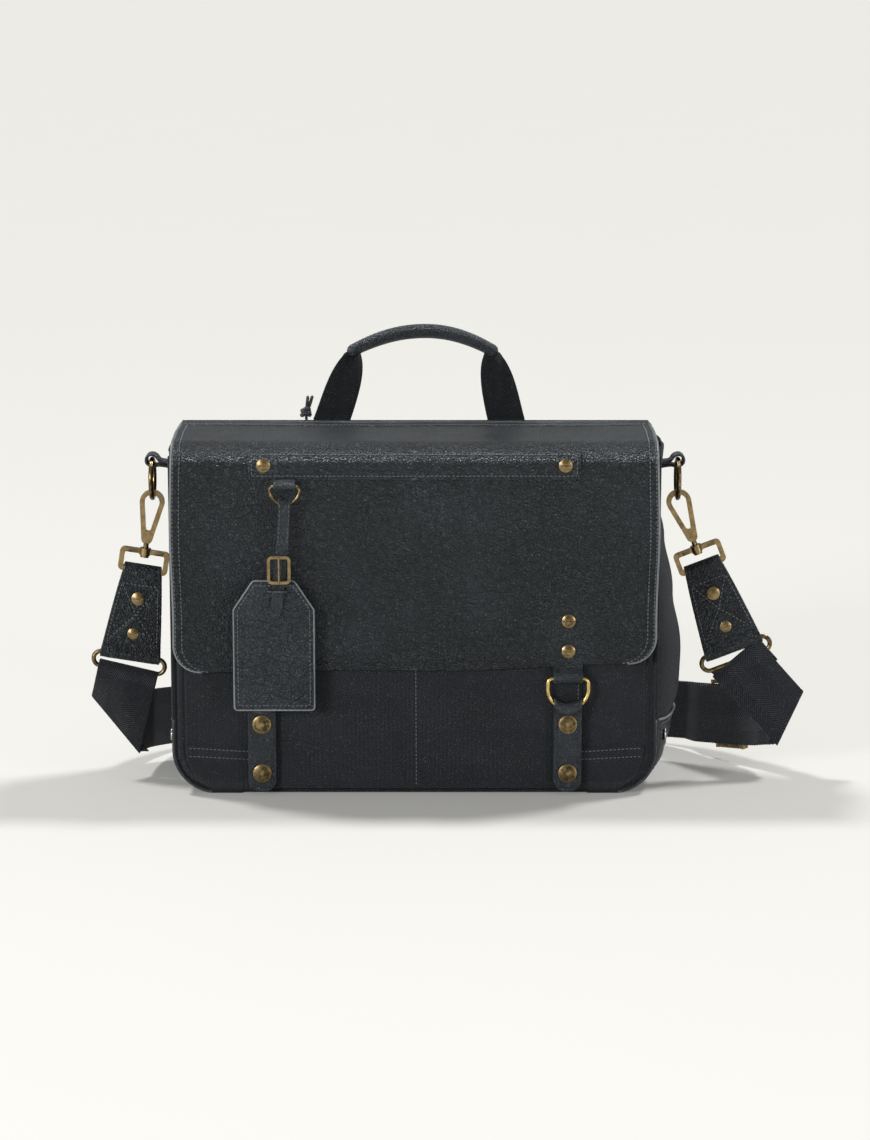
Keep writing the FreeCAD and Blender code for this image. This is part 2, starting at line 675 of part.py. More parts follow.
def buckle_prong():
    top = TAG_STRAP_TOP - TAG_BUCKLE_TOP
    x = TAG_X - TAG_STRAP_SLANT * (TAG_BUCKLE_TOP + TAG_BUCKLE_HEIGHT / 2) / TAG_STRAP_LENGTH
    y = TAG_BAR_Y - TAG_STRAP - CLEAR - 2 * TAG_BUCKLE_WIRE - CLEAR - PRONG_RADIUS
    foot = Vector(x, y, top - TAG_BUCKLE_HEIGHT + PRONG_INSET)
    return rod(PRONG_RADIUS, foot, Z_AXIS, TAG_BUCKLE_HEIGHT - 2 * PRONG_INSET)


def tag_plate():
    """Luggage tag plate with cut upper corners, behind the strap."""
    x = TAG_X + TAG_PLATE_SHIFT
    half = TAG_PLATE_WIDTH / 2
    top = TAG_STRAP_TOP - TAG_PLATE_TOP
    low = top - TAG_PLATE_HEIGHT
    cut = TAG_PLATE_CHAMFER
    y1 = TAG_BAR_Y + CLEAR + TAG_PLATE
    shoulder = top - TAG_PLATE_CHAMFER_DROP
    points = [(x - half + cut, top), (x - half, shoulder), (x - half, low),
              (x + half, low), (x + half, shoulder), (x + half - cut, top)]
    return plate(points, [TAG_PLATE_CORNER] * 6, TAG_BAR_Y + CLEAR, y1)


# ---------------------------------------------------------------- handle
def handle_anchors():
    """Webbing sewn to the back panel under the two ends of the handle."""
    solids = []
    for side in (-1, 1):
        x = HANDLE_X + side * HANDLE_SPAN / 2
        half = HANDLE_WEB_WIDTH / 2
        top = HANDLE_PIVOT - HANDLE_WEB / math.sqrt(2) - CLEAR
        solids.append(block(x - half, x + half, HALF_DEPTH + CLEAR, HANDLE_Y + HANDLE_WEB / 2,
                            BODY_HEIGHT - HANDLE_ANCHOR_DROP, top))
    return solids


def handle_webbing(side):
    """Webbing from the anchor up to the grip, gathered to a narrow neck."""
    foot = HANDLE_WEB_WIDTH / 2
    neck = HANDLE_WEB_NECK / 2
    x0 = HANDLE_SPAN / 2
    x1 = HANDLE_GRIP_SPAN / 2
    low = HANDLE_PIVOT - HANDLE_WEB / 2
    points = [(x0 - foot, low), (x0 + foot, low),
              (x1 + neck, HANDLE_GRIP_HEIGHT), (x1 - neck, HANDLE_GRIP_HEIGHT)]
    radii = [0, 0, HANDLE_NECK_CORNER, HANDLE_NECK_CORNER]
    shape = plate(points, radii, HANDLE_Y - HANDLE_WEB / 2, HANDLE_Y + HANDLE_WEB / 2)
    if side < 0:
        shape = shape.mirror(ORIGIN, X_AXIS)
    shape.translate(Vector(HANDLE_X, 0, 0))
    return shape


def grip_arc():
    half = HANDLE_GRIP_SPAN / 2
    end_z = HANDLE_GRIP_HEIGHT + GRIP_RADIUS + CLEAR
    return Part.Arc(Vector(HANDLE_X - half, HANDLE_Y, end_z), Vector(HANDLE_X, HANDLE_Y, HANDLE_PEAK),
                    Vector(HANDLE_X + half, HANDLE_Y, end_z)).toShape()


def handle_grip():
    path = Part.Wire(grip_arc())
    return sweep(path, GRIP_RADIUS).cut(sweep(path, GRIP_CORE_RADIUS + CLEAR))


def handle_core():
    return sweep(Part.Wire(grip_arc()), GRIP_CORE_RADIUS)


# ---------------------------------------------------------------- back zip
def zip_tape():
    half = ZIP_LENGTH / 2
    y0 = HALF_DEPTH + CLEAR
    reach = (ZIP_TAPE_HEIGHT - ZIP_TEETH_HEIGHT) / 2
    solids = []
    for side in (-1, 1):
        z0 = ZIP_HEIGHT + side * (ZIP_TEETH_HEIGHT / 2 + reach / 2)
        solids.append(block(-half, half, y0, y0 + ZIP_TAPE, z0 - reach / 2, z0 + reach / 2))
    return solids


def zip_teeth():
    half = ZIP_LENGTH / 2 - ZIP_TEETH_INSET
    high = ZIP_TEETH_HEIGHT / 2 - ZIP_TEETH_GAP
    y0 = HALF_DEPTH + CLEAR
    return block(-half, half, y0, y0 + ZIP_TEETH, ZIP_HEIGHT - high, ZIP_HEIGHT + high)


def slider_back():
    return HALF_DEPTH + 2 * CLEAR + ZIP_TEETH


def lace_y():
    return slider_back() + SLIDER_DEPTH / 2 + LACE_RADIUS + LACE_AIR


def zip_slider():
    """Slider body over the teeth, with two ears and the pin that the lace goes round."""
    y0 = slider_back()
    half = SLIDER_LENGTH / 2
    high = SLIDER_HEIGHT / 2
    front = y0 + SLIDER_DEPTH / 2
    body = block(ZIP_PARK - half, ZIP_PARK + half, y0, front, ZIP_HEIGHT - high, ZIP_HEIGHT + high)
    pieces = []
    for side in (-1, 1):
        x = ZIP_PARK + side * (LACE_RADIUS + CLEAR + EAR / 2)
        pieces.append(block(x - EAR / 2, x + EAR / 2, front - EAR_ROOT, lace_y() + EAR,
                            ZIP_HEIGHT - 2 * EAR, ZIP_HEIGHT + 2 * EAR))
    reach = LACE_RADIUS + CLEAR + EAR
    pieces.append(rod(PULL_PIN, Vector(ZIP_PARK - reach, lace_y(), ZIP_HEIGHT), X_AXIS, 2 * reach))
    return body.fuse(pieces).removeSplitter()


# The lace's route: sideways from the slider's pin, behind the pin, and above the zip.
LACE_ROUTE = [
    (0.0, 0.0, 1.2),
    (0.8, 2.4, 11.0),
    (-0.2, 4.4, 20.5),
    (0.6, 5.0, 30.0),
    (-0.4, 4.4, 39.0),
]


def lace_points():
    return [Vector(ZIP_PARK + x, lace_y() + y, ZIP_HEIGHT + z) for x, y, z in LACE_ROUTE]


def lace_tube(spots, radius):
    """Round lace along straight runs joined by tangent arcs."""
    edges = []
    start = spots[0]
    for i in range(1, len(spots) - 1):
        back = spots[i - 1] - spots[i]
        ahead = spots[i + 1] - spots[i]
        turn = math.pi - back.getAngle(ahead)
        bend = 0.45 * min(back.Length, ahead.Length) / math.tan(turn / 2)
        reach = bend * math.tan(turn / 2)
        first = spots[i] + back.normalize() * reach
        last = spots[i] + ahead.normalize() * reach
        centre = spots[i] + (back + ahead).normalize() * (bend / math.cos(turn / 2))
        middle = centre + (spots[i] - centre).normalize() * bend
        edges.append(Part.LineSegment(start, first).toShape())
        edges.append(Part.Arc(first, middle, last).toShape())
        start = last
    edges.append(Part.LineSegment(start, spots[-1]).toShape())
    return sweep(Part.Wire(edges), radius)


def zip_lace():
    return lace_tube(lace_points(), LACE_RADIUS)


def lace_knot():
    """Knot at the top of the lace, with the two cut ends."""
    x, y, z = lace_points()[-1]
    knot = Part.makeSphere(KNOT_RADIUS, Vector(x, y, z + KNOT_RADIUS))
    solids = [knot]
    for side in (-1, 1):
        start = Vector(x, y, z + KNOT_RADIUS)
        lean = Vector(side * LACE_SPREAD, 0, z + LACE_TAIL - start.z).normalize()
        solids.append(rod(LACE_RADIUS, start, lean, z + LACE_TAIL - start.z))
    fused = solids[0].fuse(solids[1:])
    room = 2 * KNOT_RADIUS
    flat = block(x - room, x + room, y - room, y + room, z - 1, z + KNOT_FLAT)
    return fused.cut(flat).removeSplitter()


# ---------------------------------------------------------------- side rings and strap
def ring_tabs():
    """Leather tabs on the gussets, each folded round the top of its ring."""
    solids = []
    for side in (-1, 1):
        half = RING_TAB_WIDTH / 2
        face = HALF_WIDTH - GUARD
        top = RING_HEIGHT + RING_RADIUS
        leaf = block(face, face + RING_TAB_PLATE, -half, half,
                     RING_HEIGHT - RING_TAB_TAIL, top + RING_TAB_HEAD)
        neck = block(face, RING_X, -half, half, top - RING_TAB_WALL, top + RING_TAB_WALL)
        fold = rod(RING_TAB_BORE + RING_TAB_WALL, Vector(RING_X, -half, top), Y_AXIS, RING_TAB_WIDTH)
        bore = rod(RING_TAB_BORE, Vector(RING_X, -half - 1, top), Y_AXIS, RING_TAB_WIDTH + 2)
        tab = leaf.fuse([neck, fold]).cut(bore).removeSplitter()
        solids.append(tab if side > 0 else tab.mirror(ORIGIN, X_AXIS))
    return solids


def side_ring(side):
    return Part.makeTorus(RING_RADIUS, RING_WIRE, Vector(side * RING_X, 0, RING_HEIGHT), X_AXIS)


def teardrop(top_radius, foot_radius, length, y0, y1):
    """Solid hull of a circle at the origin and a smaller one below it."""
    lean = math.asin((top_radius - foot_radius) / length)
    low = Vector(0, 0, -length)
    side = Vector(math.cos(lean), 0, -math.sin(lean))
    other = Vector(-math.cos(lean), 0, -math.sin(lean))
    wire = Part.Wire([
        Part.Arc(side * top_radius, Vector(0, 0, top_radius), other * top_radius).toShape(),
        Part.LineSegment(other * top_radius, low + other * foot_radius).toShape(),
        Part.Arc(low + other * foot_radius, Vector(0, 0, -length - foot_radius),
                 low + side * foot_radius).toShape(),
        Part.LineSegment(low + side * foot_radius, side * top_radius).toShape(),
    ])
    face = Part.Face(wire)
    face.translate(Vector(0, y0, 0))
    return face.extrude(Vector(0, y1 - y0, 0))


def gate_line():
    """Centre of the hook's outer side: pin end and free end, in the hook's own frame."""
    outer_lean = (HOOK_EYE + HOOK_BAR - HOOK_FOOT) / HOOK_LENGTH
    inner_lean = (HOOK_EYE - HOOK_EYE_FOOT) / HOOK_EYE_LENGTH
    lean = (outer_lean + inner_lean) / 2
    middle = HOOK_EYE + HOOK_BAR / 2
    pin = Vector(middle + lean * GATE_PIN, 0, GATE_PIN)
    tip = Vector(middle + lean * GATE_TOP, 0, GATE_TOP)
    return pin, tip


def hook_blank():
    half = HOOK_THICKNESS / 2
    outer = teardrop(HOOK_EYE + HOOK_BAR, HOOK_FOOT, HOOK_LENGTH, -half, half)
    eye = teardrop(HOOK_EYE, HOOK_EYE_FOOT, HOOK_EYE_LENGTH, -half - 1, half + 1)
    return outer.cut(eye)


def gate_zone(grow):
    """Slab along the gate's line, wider than the hook's side, with a round lower end."""
    pin, tip = gate_line()
    along = (tip - pin).normalize()
    across = Vector(along.z, 0, -along.x)
    half = HOOK_THICKNESS
    high = tip + along * grow
    wide = HOOK_BAR
    corners = [pin - across * wide, high - across * wide, high + across * wide, pin + across * wide]
    slab_zone = plate([(c.x, c.z) for c in corners], [0] * 4, -half, half)
    eye = rod(HOOK_BAR / 2 + GATE_EYE_EXTRA + grow, pin - Y_AXIS * half, Y_AXIS, 2 * half)
    return slab_zone.fuse(eye)


def hook_body():
    """Flat snap hook with its swivel post, gap and gate pin."""
    body = hook_blank().cut(gate_zone(CLEAR))
    foot = -HOOK_LENGTH - HOOK_FOOT + POST_ROOT
    head = SWIVEL_BAR - SWIVEL_WIRE - BOSS_RISE - POST_CLEAR
    post = rod(POST_RADIUS, Vector(0, 0, foot), -Z_AXIS, foot - head + POST_HEAD / 2)
    cap = rod(POST_RADIUS + POST_HEAD_RIM, Vector(0, 0, head), -Z_AXIS, POST_HEAD)
    return body.fuse([post, cap]).removeSplitter()


def hook_gate():
    half = HOOK_THICKNESS / 2 - GATE_SLIM
    blank = hook_blank().common(gate_zone(0))
    reach = 2 * HOOK_LENGTH
    slim = block(-reach, reach, -half, half, -reach, reach)
    return blank.common(slim)


def swivel_loop():
    """Rectangular loop with a round boss that the hook's post turns in."""
    w = SWIVEL_INNER_WIDTH / 2
    r = SWIVEL_WIRE
    top = SWIVEL_BAR + r
    low = SWIVEL_BAR - r - SWIVEL_INNER_HEIGHT - 2 * r
    outer = plate([(-w - 2 * r, top), (-w - 2 * r, low), (w + 2 * r, low), (w + 2 * r, top)],
                  [SWIVEL_CORNER] * 4, -r, r)
    inner = plate([(-w, top - 2 * r), (-w, low + 2 * r), (w, low + 2 * r), (w, top - 2 * r)],
                  [SMALL_CORNER] * 4, -r - 1, r + 1)
    high = r + BOSS_RISE
    boss = rod(POST_RADIUS + BOSS_WALL, Vector(0, 0, SWIVEL_BAR - high), Z_AXIS, 2 * high)
    bore = rod(POST_RADIUS + POST_CLEAR, Vector(0, 0, SWIVEL_BAR - 2 * high), Z_AXIS, 4 * high)
    return outer.cut(inner).fuse(boss).cut(bore).removeSplitter()


def upper_bar():
    return SWIVEL_BAR - 2 * SWIVEL_WIRE - SWIVEL_INNER_HEIGHT


def lower_bar():
    return upper_bar() - STRAP_END_LENGTH


def strap_end():
    """Leather end of the strap, folded round the swivel loop and the strap ring."""
    upper = upper_bar()
    lower = lower_bar()
    half_top = STRAP_END_TOP_WIDTH / 2
    half_low = STRAP_END_BOTTOM_WIDTH / 2
    upper_bore = SWIVEL_WIRE * math.sqrt(2) + CLEAR
    lower_bore = STRAP_RING_WIRE + 2 * CLEAR
    shoulder = lower + STRAP_END_STRAIGHT
    points = [(-half_top, upper), (-half_low, shoulder), (-half_low, lower),
              (half_low, lower), (half_low, shoulder), (half_top, upper)]
    radii = [0, STRAP_END_SHOULDER, 0, 0, STRAP_END_SHOULDER, 0]
    leaf = plate(points, radii, -STRAP_END / 2, STRAP_END / 2)
    top_fold = rod(upper_bore + FOLD_WALL, Vector(-half_top, 0, upper), X_AXIS, 2 * half_top)
    low_fold = rod(lower_bore + FOLD_WALL, Vector(-half_low, 0, lower), X_AXIS, 2 * half_low)
    top_hole = rod(upper_bore, Vector(-2 * half_top, 0, upper), X_AXIS, 4 * half_top)
    low_hole = rod(lower_bore, Vector(-2 * half_low, 0, lower), X_AXIS, 4 * half_low)
    return leaf.fuse([top_fold, low_fold]).cut(top_hole.fuse(low_hole)).removeSplitter()


def strap_end_rivets():
    front = Vector(0, -STRAP_END / 2, 0)
    upper = upper_bar()
    drops = (STRAP_RIVET_UPPER, STRAP_RIVET_LOWER)
    return [rivet(front + Z_AXIS * (upper - drop), -Y_AXIS) for drop in drops]


def strap_ring():
    """Round-ended ring between the leather end and the webbing."""
    lower = lower_bar()
    r = STRAP_RING_RISE / 2
    half = STRAP_RING_WIDTH / 2 - r
    centre = lower - r
    path = Part.Wire([
        Part.LineSegment(Vector(-half, 0, lower), Vector(half, 0, lower)).toShape(),
        corner_arc(Vector(half, 0, centre), r, 90, -90),
        Part.LineSegment(Vector(half, 0, centre - r), Vector(-half, 0, centre - r)).toShape(),
        corner_arc(Vector(-half, 0, centre), r, 270, 90),
    ])
    return sweep(path, STRAP_RING_WIRE)


def strap_frame(side):
    """Placement of the hook's frame: its eye hangs on the bottom of the side ring."""
    tilt = HOOK_TILT_RIGHT if side > 0 else HOOK_TILT_LEFT
    turn = FreeCAD.Rotation(Y_AXIS, -tilt)
    seat = HOOK_EYE - RING_WIRE - HOOK_SEAT
    up = turn.multVec(Z_AXIS)
    return FreeCAD.Placement(Vector(RING_X, 0, RING_BOTTOM) - up * seat, turn)


def on_side(shape, side):
    """Put a piece made in the hook's frame on the right or the left of the bag."""
    placed = shape.copy()
    placed.Placement = strap_frame(side).multiply(shape.Placement)
    return placed if side > 0 else placed.mirror(ORIGIN, X_AXIS)


def fold_edge(side):
    """Webbing below a strap ring: its two top corners and the two ends of its fold."""
    frame = strap_frame(side)
    bar = frame.multVec(Vector(0, 0, lower_bar() - STRAP_RING_RISE))
    across = frame.Rotation.multVec(X_AXIS)
    centre = Vector(RING_X + FOLD_OUT_RIGHT, 0, FOLD_Z_RIGHT) if side > 0 else Vector(
        RING_X + FOLD_OUT_LEFT, 0, FOLD_Z_LEFT)
    run = (centre - bar).normalize()
    crease = (run - X_AXIS).normalize()
    corners = []
    for end in (-1, 1):
        top = bar + across * (end * WEB_WIDTH / 2)
        gap = centre - top
        det = run.x * crease.z - run.z * crease.x
        along = (gap.x * crease.z - gap.z * crease.x) / det
        corners.append((top, top + run * along))
    return corners


def slab(points, y0, y1):
    return plate([(p.x, p.z) for p in points], [0] * len(points), y0, y1)


def webbing_drop(side):
    """Webbing round the strap ring, down to the fold and back behind itself."""
    (inner_top, inner_low), (outer_top, outer_low) = fold_edge(side)
    half = WEB / 2
    behind = half + FOLD_AIR
    drop = slab([inner_top, inner_low, outer_low, outer_top], -half, half)
    start_x = inner_low.x - FOLD_LAP
    back = slab([inner_low, outer_low, Vector(start_x, 0, outer_low.z), Vector(start_x, 0, inner_low.z)],
                behind, behind + WEB)
    inwards = Vector(-1, 0, 0) * WEB
    crease = slab([inner_low, outer_low, outer_low + inwards, inner_low + inwards], -half, behind + WEB)
    bar = (inner_top + outer_top) * 0.5
    across = (outer_top - inner_top).normalize()
    bore = STRAP_RING_WIRE + CLEAR
    fold = loop_tube(bore + WEB, bore, WEB_WIDTH, bar, across)
    hole = rod(bore, inner_top - across, across, WEB_WIDTH + 2)
    shape = drop.fuse([back, crease, fold]).cut(hole).removeSplitter()
    return shape if side > 0 else shape.mirror(ORIGIN, X_AXIS)


def run_points():
    """Stations of the strap behind the bag: x, y, lower edge and upper edge."""
    y = WEB / 2 + FOLD_AIR + WEB / 2
    ends = []
    for side in (1, -1):
        inner, outer = fold_edge(side)
        ends.append((side * (inner[1].x - FOLD_LAP), y, inner[1].z, outer[1].z))
    middle = []
    for side, out, behind, low in STRAP_RUN:
        middle.append((side * (HALF_WIDTH + out), HALF_DEPTH + behind, low, low + WEB_WIDTH))
    return [ends[0]] + middle + [ends[1]]


def ribbon(stations, thickness):
    """Upright band through stations, mitred where it turns, as one closed solid."""
    count = len(stations)
    rails = []
    for i, (x, y, low, high) in enumerate(stations):
        before = stations[max(i - 1, 0)]
        after = stations[min(i + 1, count - 1)]
        if i == 0 or i == count - 1:
            normal = Vector(0, 1, 0)
            stretch = 1.0
        else:
            a = Vector(x - before[0], y - before[1], 0).normalize()
            b = Vector(after[0] - x, after[1] - y, 0).normalize()
            normal = Vector(-(a + b).y, (a + b).x, 0).normalize()
            stretch = 1 / math.cos(a.getAngle(b) / 2)
        if normal.y < 0:
            normal = -normal
        shift = normal * (thickness / 2 * stretch)
        near = Vector(x, y, 0) - shift
        far = Vector(x, y, 0) + shift
        rails.append([near + Z_AXIS * low, near + Z_AXIS * high, far + Z_AXIS * high, far + Z_AXIS * low])
    faces = []
    for a, b in zip(rails, rails[1:]):
        for j in range(4):
            k = (j + 1) % 4
            faces.append(triangle(a[j], a[k], b[k]))
            faces.append(triangle(a[j], b[k], b[j]))
    for end in (rails[0], rails[-1]):
        faces.append(triangle(end[0], end[1], end[2]))
        faces.append(triangle(end[0], end[2], end[3]))
    solid = Part.makeSolid(Part.makeShell(faces))
    if solid.Volume < 0:
        solid.reverse()
    return solid


def triangle(a, b, c):
    return Part.Face(Part.makePolygon([a, b, c, a]))


def adjuster():
    """Three-bar slide on the webbing behind the right fold, and the way it slides."""
    stations = run_points()
    a = stations[1]
    b = stations[2]
    start = Vector(a[0], a[1], a[2])
    along = Vector(b[0] - a[0], b[1] - a[1], b[2] - a[2])
    centre = start + along * ADJUSTER_AT + Z_AXIS * (WEB_WIDTH / 2)
    along.normalize()
    level = Vector(along.x, along.y, 0).normalize()
    normal = Z_AXIS.cross(level)
    up = along.cross(normal)
    if up.z < 0:
        up = -up
    frame = FreeCAD.Placement(centre, FreeCAD.Rotation(along, up.cross(along), up))
    bar = ADJUSTER_BAR / 2
    layer = WEB / 2 + CLEAR + bar
    tall = WEB_WIDTH / 2 + CLEAR + ADJUSTER_ROOM
    half = ADJUSTER_LENGTH / 2 - bar
    solids = []
    for x, y in ((-half, layer), (0, -layer), (half, layer)):
        solids.append(rod(bar, Vector(x, y, -tall - 2 * bar), Z_AXIS, 2 * tall + 4 * bar))
    for end in (-1, 1):
        z0 = tall if end > 0 else -tall - 2 * bar
        solids.append(block(-half, half, -layer, layer, z0, z0 + 2 * bar))
    shape = solids[0].fuse(solids[1:]).removeSplitter()
    shape.Placement = frame
    print("adjuster slides along", [round(v, 4) for v in along], "from", [round(v, 2) for v in centre])
    return shape


def build_body():
    save("front_panel", panel(-HALF_DEPTH, FRONT_IN))
    save("back_panel", panel(BACK_IN, HALF_DEPTH))
    for name, side in (("left", -1), ("right", 1)):
        save("gusset_" + name, gusset(side))
        save("corner_guard_" + name, corner_guard(side))
        save("snap_base_" + name, snap_base(side))
    save("guard_rivets", *guard_rivets())
    save("bottom_panel", bottom_panel())
    save("base_board", base_board())
    save("lining", lining())
    save("laptop_divider", laptop_divider())
    save("front_pocket", front_pocket())
    save("snap_studs", *snap_studs())
    save("ring_tabs", *ring_tabs())


def build_flap():
    save("flap_top", flap_top())
    save("flap_front", flap_front())
    save("flap_strip", flap_strip())
    save("strip_rivets", *strip_rivets())
    save("closure_rivets", *closure_rivets())
    for name, side in (("left", -1), ("right", 1)):
        save("closure_loop_" + name, closure_loop(side))
        save("closure_ring_" + name, closure_ring(side))
        save("closure_tab_" + name, closure_tab(side))
        save("snaps_" + name, *snaps(side))
    save("tag_loop", tag_loop())
    save("tag_ring", tag_ring())
    save("tag_strap", tag_strap())
    save("tag_buckle", tag_buckle())
    save("buckle_prong", buckle_prong())
    save("tag_plate", tag_plate())


def build_handle():
    save("handle_anchors", *handle_anchors())
    save("handle_webbing_left", handle_webbing(-1))
    save("handle_webbing_right", handle_webbing(1))
    save("handle_grip", handle_grip())
    save("handle_core", handle_core())


def build_zip():
    save("zip_tape", *zip_tape())
    save("zip_teeth", zip_teeth())
    save("zip_slider", zip_slider())
    save("zip_lace", zip_lace())
    save("lace_knot", lace_knot())


def build_strap():
    for name, side in (("left", -1), ("right", 1)):
        save("side_ring_" + name, side_ring(side))
        save("hook_" + name, on_side(hook_body(), side))
        save("hook_gate_" + name, on_side(hook_gate(), side))
        save("swivel_loop_" + name, on_side(swivel_loop(), side))
        save("strap_end_" + name, on_side(strap_end(), side))
        save("strap_ring_" + name, on_side(strap_ring(), side))
        place = strap_frame(side)
        pin, tip = gate_line()
        print("hook frame", name, place, "pin", place.multVec(pin), "up", place.Rotation.multVec(Z_AXIS))
    rivets = [on_side(r, side) for side in (-1, 1) for r in strap_end_rivets()]
    save("strap_end_rivets", *rivets)
    run = ribbon(run_points(), WEB)
    whole = run.fuse([webbing_drop(1), webbing_drop(-1)])
    save("strap_webbing", whole)
    save("strap_adjuster", adjuster())


os.makedirs("parts", exist_ok=True)
build_body()
build_flap()
build_handle()
build_zip()
build_strap()
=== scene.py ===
"""Messenger bag: leather flap and trim, canvas body, webbing strap, brass fittings."""
import json
import math

import bmesh
import bpy
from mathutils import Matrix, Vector, noise


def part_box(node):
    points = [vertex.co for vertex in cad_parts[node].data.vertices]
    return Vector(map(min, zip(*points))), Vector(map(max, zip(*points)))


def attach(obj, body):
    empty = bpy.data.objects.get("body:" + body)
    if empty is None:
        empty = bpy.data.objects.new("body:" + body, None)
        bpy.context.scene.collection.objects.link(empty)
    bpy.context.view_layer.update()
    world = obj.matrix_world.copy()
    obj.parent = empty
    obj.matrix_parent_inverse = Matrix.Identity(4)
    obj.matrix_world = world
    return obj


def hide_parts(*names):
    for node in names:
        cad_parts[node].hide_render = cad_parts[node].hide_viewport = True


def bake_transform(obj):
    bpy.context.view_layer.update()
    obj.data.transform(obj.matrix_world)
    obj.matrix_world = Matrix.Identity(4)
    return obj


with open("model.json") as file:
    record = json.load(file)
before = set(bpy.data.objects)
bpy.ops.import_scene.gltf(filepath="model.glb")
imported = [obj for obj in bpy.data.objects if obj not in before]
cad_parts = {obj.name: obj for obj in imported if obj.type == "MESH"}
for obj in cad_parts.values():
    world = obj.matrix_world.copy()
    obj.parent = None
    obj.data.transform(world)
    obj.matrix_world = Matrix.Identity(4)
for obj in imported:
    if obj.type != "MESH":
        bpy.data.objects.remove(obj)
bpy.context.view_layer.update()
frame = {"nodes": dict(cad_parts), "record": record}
scene = bpy.context.scene

X = Vector((1, 0, 0))
Y = Vector((0, 1, 0))
Z = Vector((0, 0, 1))

# ------------------------------------------------------------------ camera
CAMERA_TILT = 79.0          # degrees from straight down
camera_data = bpy.data.cameras.new("camera")
camera_data.lens = 97.8
camera_data.sensor_width = 36.0
camera_data.clip_end = 2000.0       # past the far edge of the floor
camera = bpy.data.objects.new("camera", camera_data)
camera.location = (0.0164, -2.5154, 0.6642)
camera.rotation_euler = (math.radians(CAMERA_TILT), 0, 0)
scene.collection.objects.link(camera)
scene.camera = camera
scene.view_settings.view_transform = "Standard"


# ------------------------------------------------------------------ node helpers
def put(tree, socket, value):
    if isinstance(value, bpy.types.NodeSocket):
        tree.links.new(value, socket)
    elif isinstance(value, (tuple, list)) and len(value) == 3 and socket.type == "RGBA":
        socket.default_value = (*value, 1)
    else:
        socket.default_value = value


def add(tree, kind, settings=None, **sockets):
    node = tree.nodes.new(kind)
    for key, value in (settings or {}).items():
        setattr(node, key, value)
    for key, value in sockets.items():
        put(tree, node.inputs[key.replace("_", " ")], value)
    return node


def calc(tree, operation, *values):
    node = tree.nodes.new("ShaderNodeMath")
    node.operation = operation
    for socket, value in zip(node.inputs, values):
        put(tree, socket, value)
    return node.outputs[0]


def remap(tree, value, low, high, to_low=0.0, to_high=1.0):
    node = add(tree, "ShaderNodeMapRange", {"interpolation_type": "SMOOTHSTEP"})
    for socket, number in zip(node.inputs, (value, low, high, to_low, to_high)):
        put(tree, socket, number)
    return node.outputs[0]


def blend_colour(tree, factor, first, second):
    node = add(tree, "ShaderNodeMix", {"data_type": "RGBA"})
    put(tree, node.inputs[0], factor)
    put(tree, node.inputs[6], first)
    put(tree, node.inputs[7], second)
    return node.outputs[2]


def speckle(tree, vector, scale, detail=4.0, roughness=0.55):
    return add(tree, "ShaderNodeTexNoise", Vector=vector, Scale=scale, Detail=detail,
               Roughness=roughness).outputs["Fac"]


def new_group(name, inputs, outputs):
    group = bpy.data.node_groups.new(name, "ShaderNodeTree")
    kinds = {"colour": "NodeSocketColor", "value": "NodeSocketFloat", "vector": "NodeSocketVector"}
    for label, kind, default in inputs:
        socket = group.interface.new_socket(label, in_out="INPUT", socket_type=kinds[kind])
        if default is not None:
            socket.default_value = default
    for label, kind in outputs:
        group.interface.new_socket(label, in_out="OUTPUT", socket_type=kinds[kind])
    return group, group.nodes.new("NodeGroupInput").outputs, group.nodes.new("NodeGroupOutput").inputs


# ------------------------------------------------------------------ shared effects
def pebble_group():
    """Rounded leather grain: cells of one size, broken up by longer creases. Its colour carries painted shade:
    darker in the valleys and creases and lighter on the crests, over a random broad tone.
    """
    group, have, give = new_group(
        "Pebble grain and painted shade",
        [("Vector", "vector", None), ("Size", "value", 0.0016), ("Crease", "value", 0.4),
         ("Valley", "colour", (0.01, 0.01, 0.01, 1)), ("Crest", "colour", (0.1, 0.1, 0.1, 1))],
        [("Color", "colour"), ("Roughness", "value"), ("Height", "value")])
    count = calc(group, "DIVIDE", 1.0, have["Size"])
    drift = speckle(group, have["Vector"], 60.0, 3.0)
    shifted = add(group, "ShaderNodeVectorMath", {"operation": "ADD"})
    warp = add(group, "ShaderNodeTexNoise", Vector=have["Vector"], Scale=180.0, Detail=2.0)
    pull = add(group, "ShaderNodeVectorMath", {"operation": "SCALE"})
    group.links.new(warp.outputs["Color"], pull.inputs[0])
    pull.inputs["Scale"].default_value = 0.0030
    group.links.new(have["Vector"], shifted.inputs[0])
    group.links.new(pull.outputs[0], shifted.inputs[1])
    cells = add(group, "ShaderNodeTexVoronoi", {"feature": "DISTANCE_TO_EDGE"},
                Vector=shifted.outputs[0], Scale=count, Randomness=1.0)
    pebble = remap(group, cells.outputs["Distance"], 0.0, 0.32)
    fine = speckle(group, have["Vector"], 2400.0, 2.0)
    broad = remap(group, speckle(group, have["Vector"], 14.0, 2.0), 0.35, 0.7)
    crease = add(group, "ShaderNodeTexVoronoi", {"feature": "DISTANCE_TO_EDGE"},
                 Vector=shifted.outputs[0], Scale=calc(group, "MULTIPLY", count, 0.33))
    fold = remap(group, crease.outputs["Distance"], 0.0, 0.12)
    fold_depth = calc(group, "MULTIPLY", calc(group, "SUBTRACT", 1.0, fold), have["Crease"])
    height = calc(group, "SUBTRACT", calc(group, "MULTIPLY_ADD", fine, 0.16, pebble), fold_depth)
    # painted shade: the colour follows the height, so valleys and creases are darker than the crests; broad adds
    # random tone
    tone = calc(group, "MULTIPLY_ADD", broad, 0.35, calc(group, "MULTIPLY", height, 0.5))
    group.links.new(blend_colour(group, tone, have["Valley"], have["Crest"]), give["Color"])
    rough = calc(group, "MULTIPLY_ADD", drift, 0.22, 0.33)
    group.links.new(calc(group, "SUBTRACT", rough, calc(group, "MULTIPLY", pebble, 0.06)), give["Roughness"])
    group.links.new(height, give["Height"])
    return group


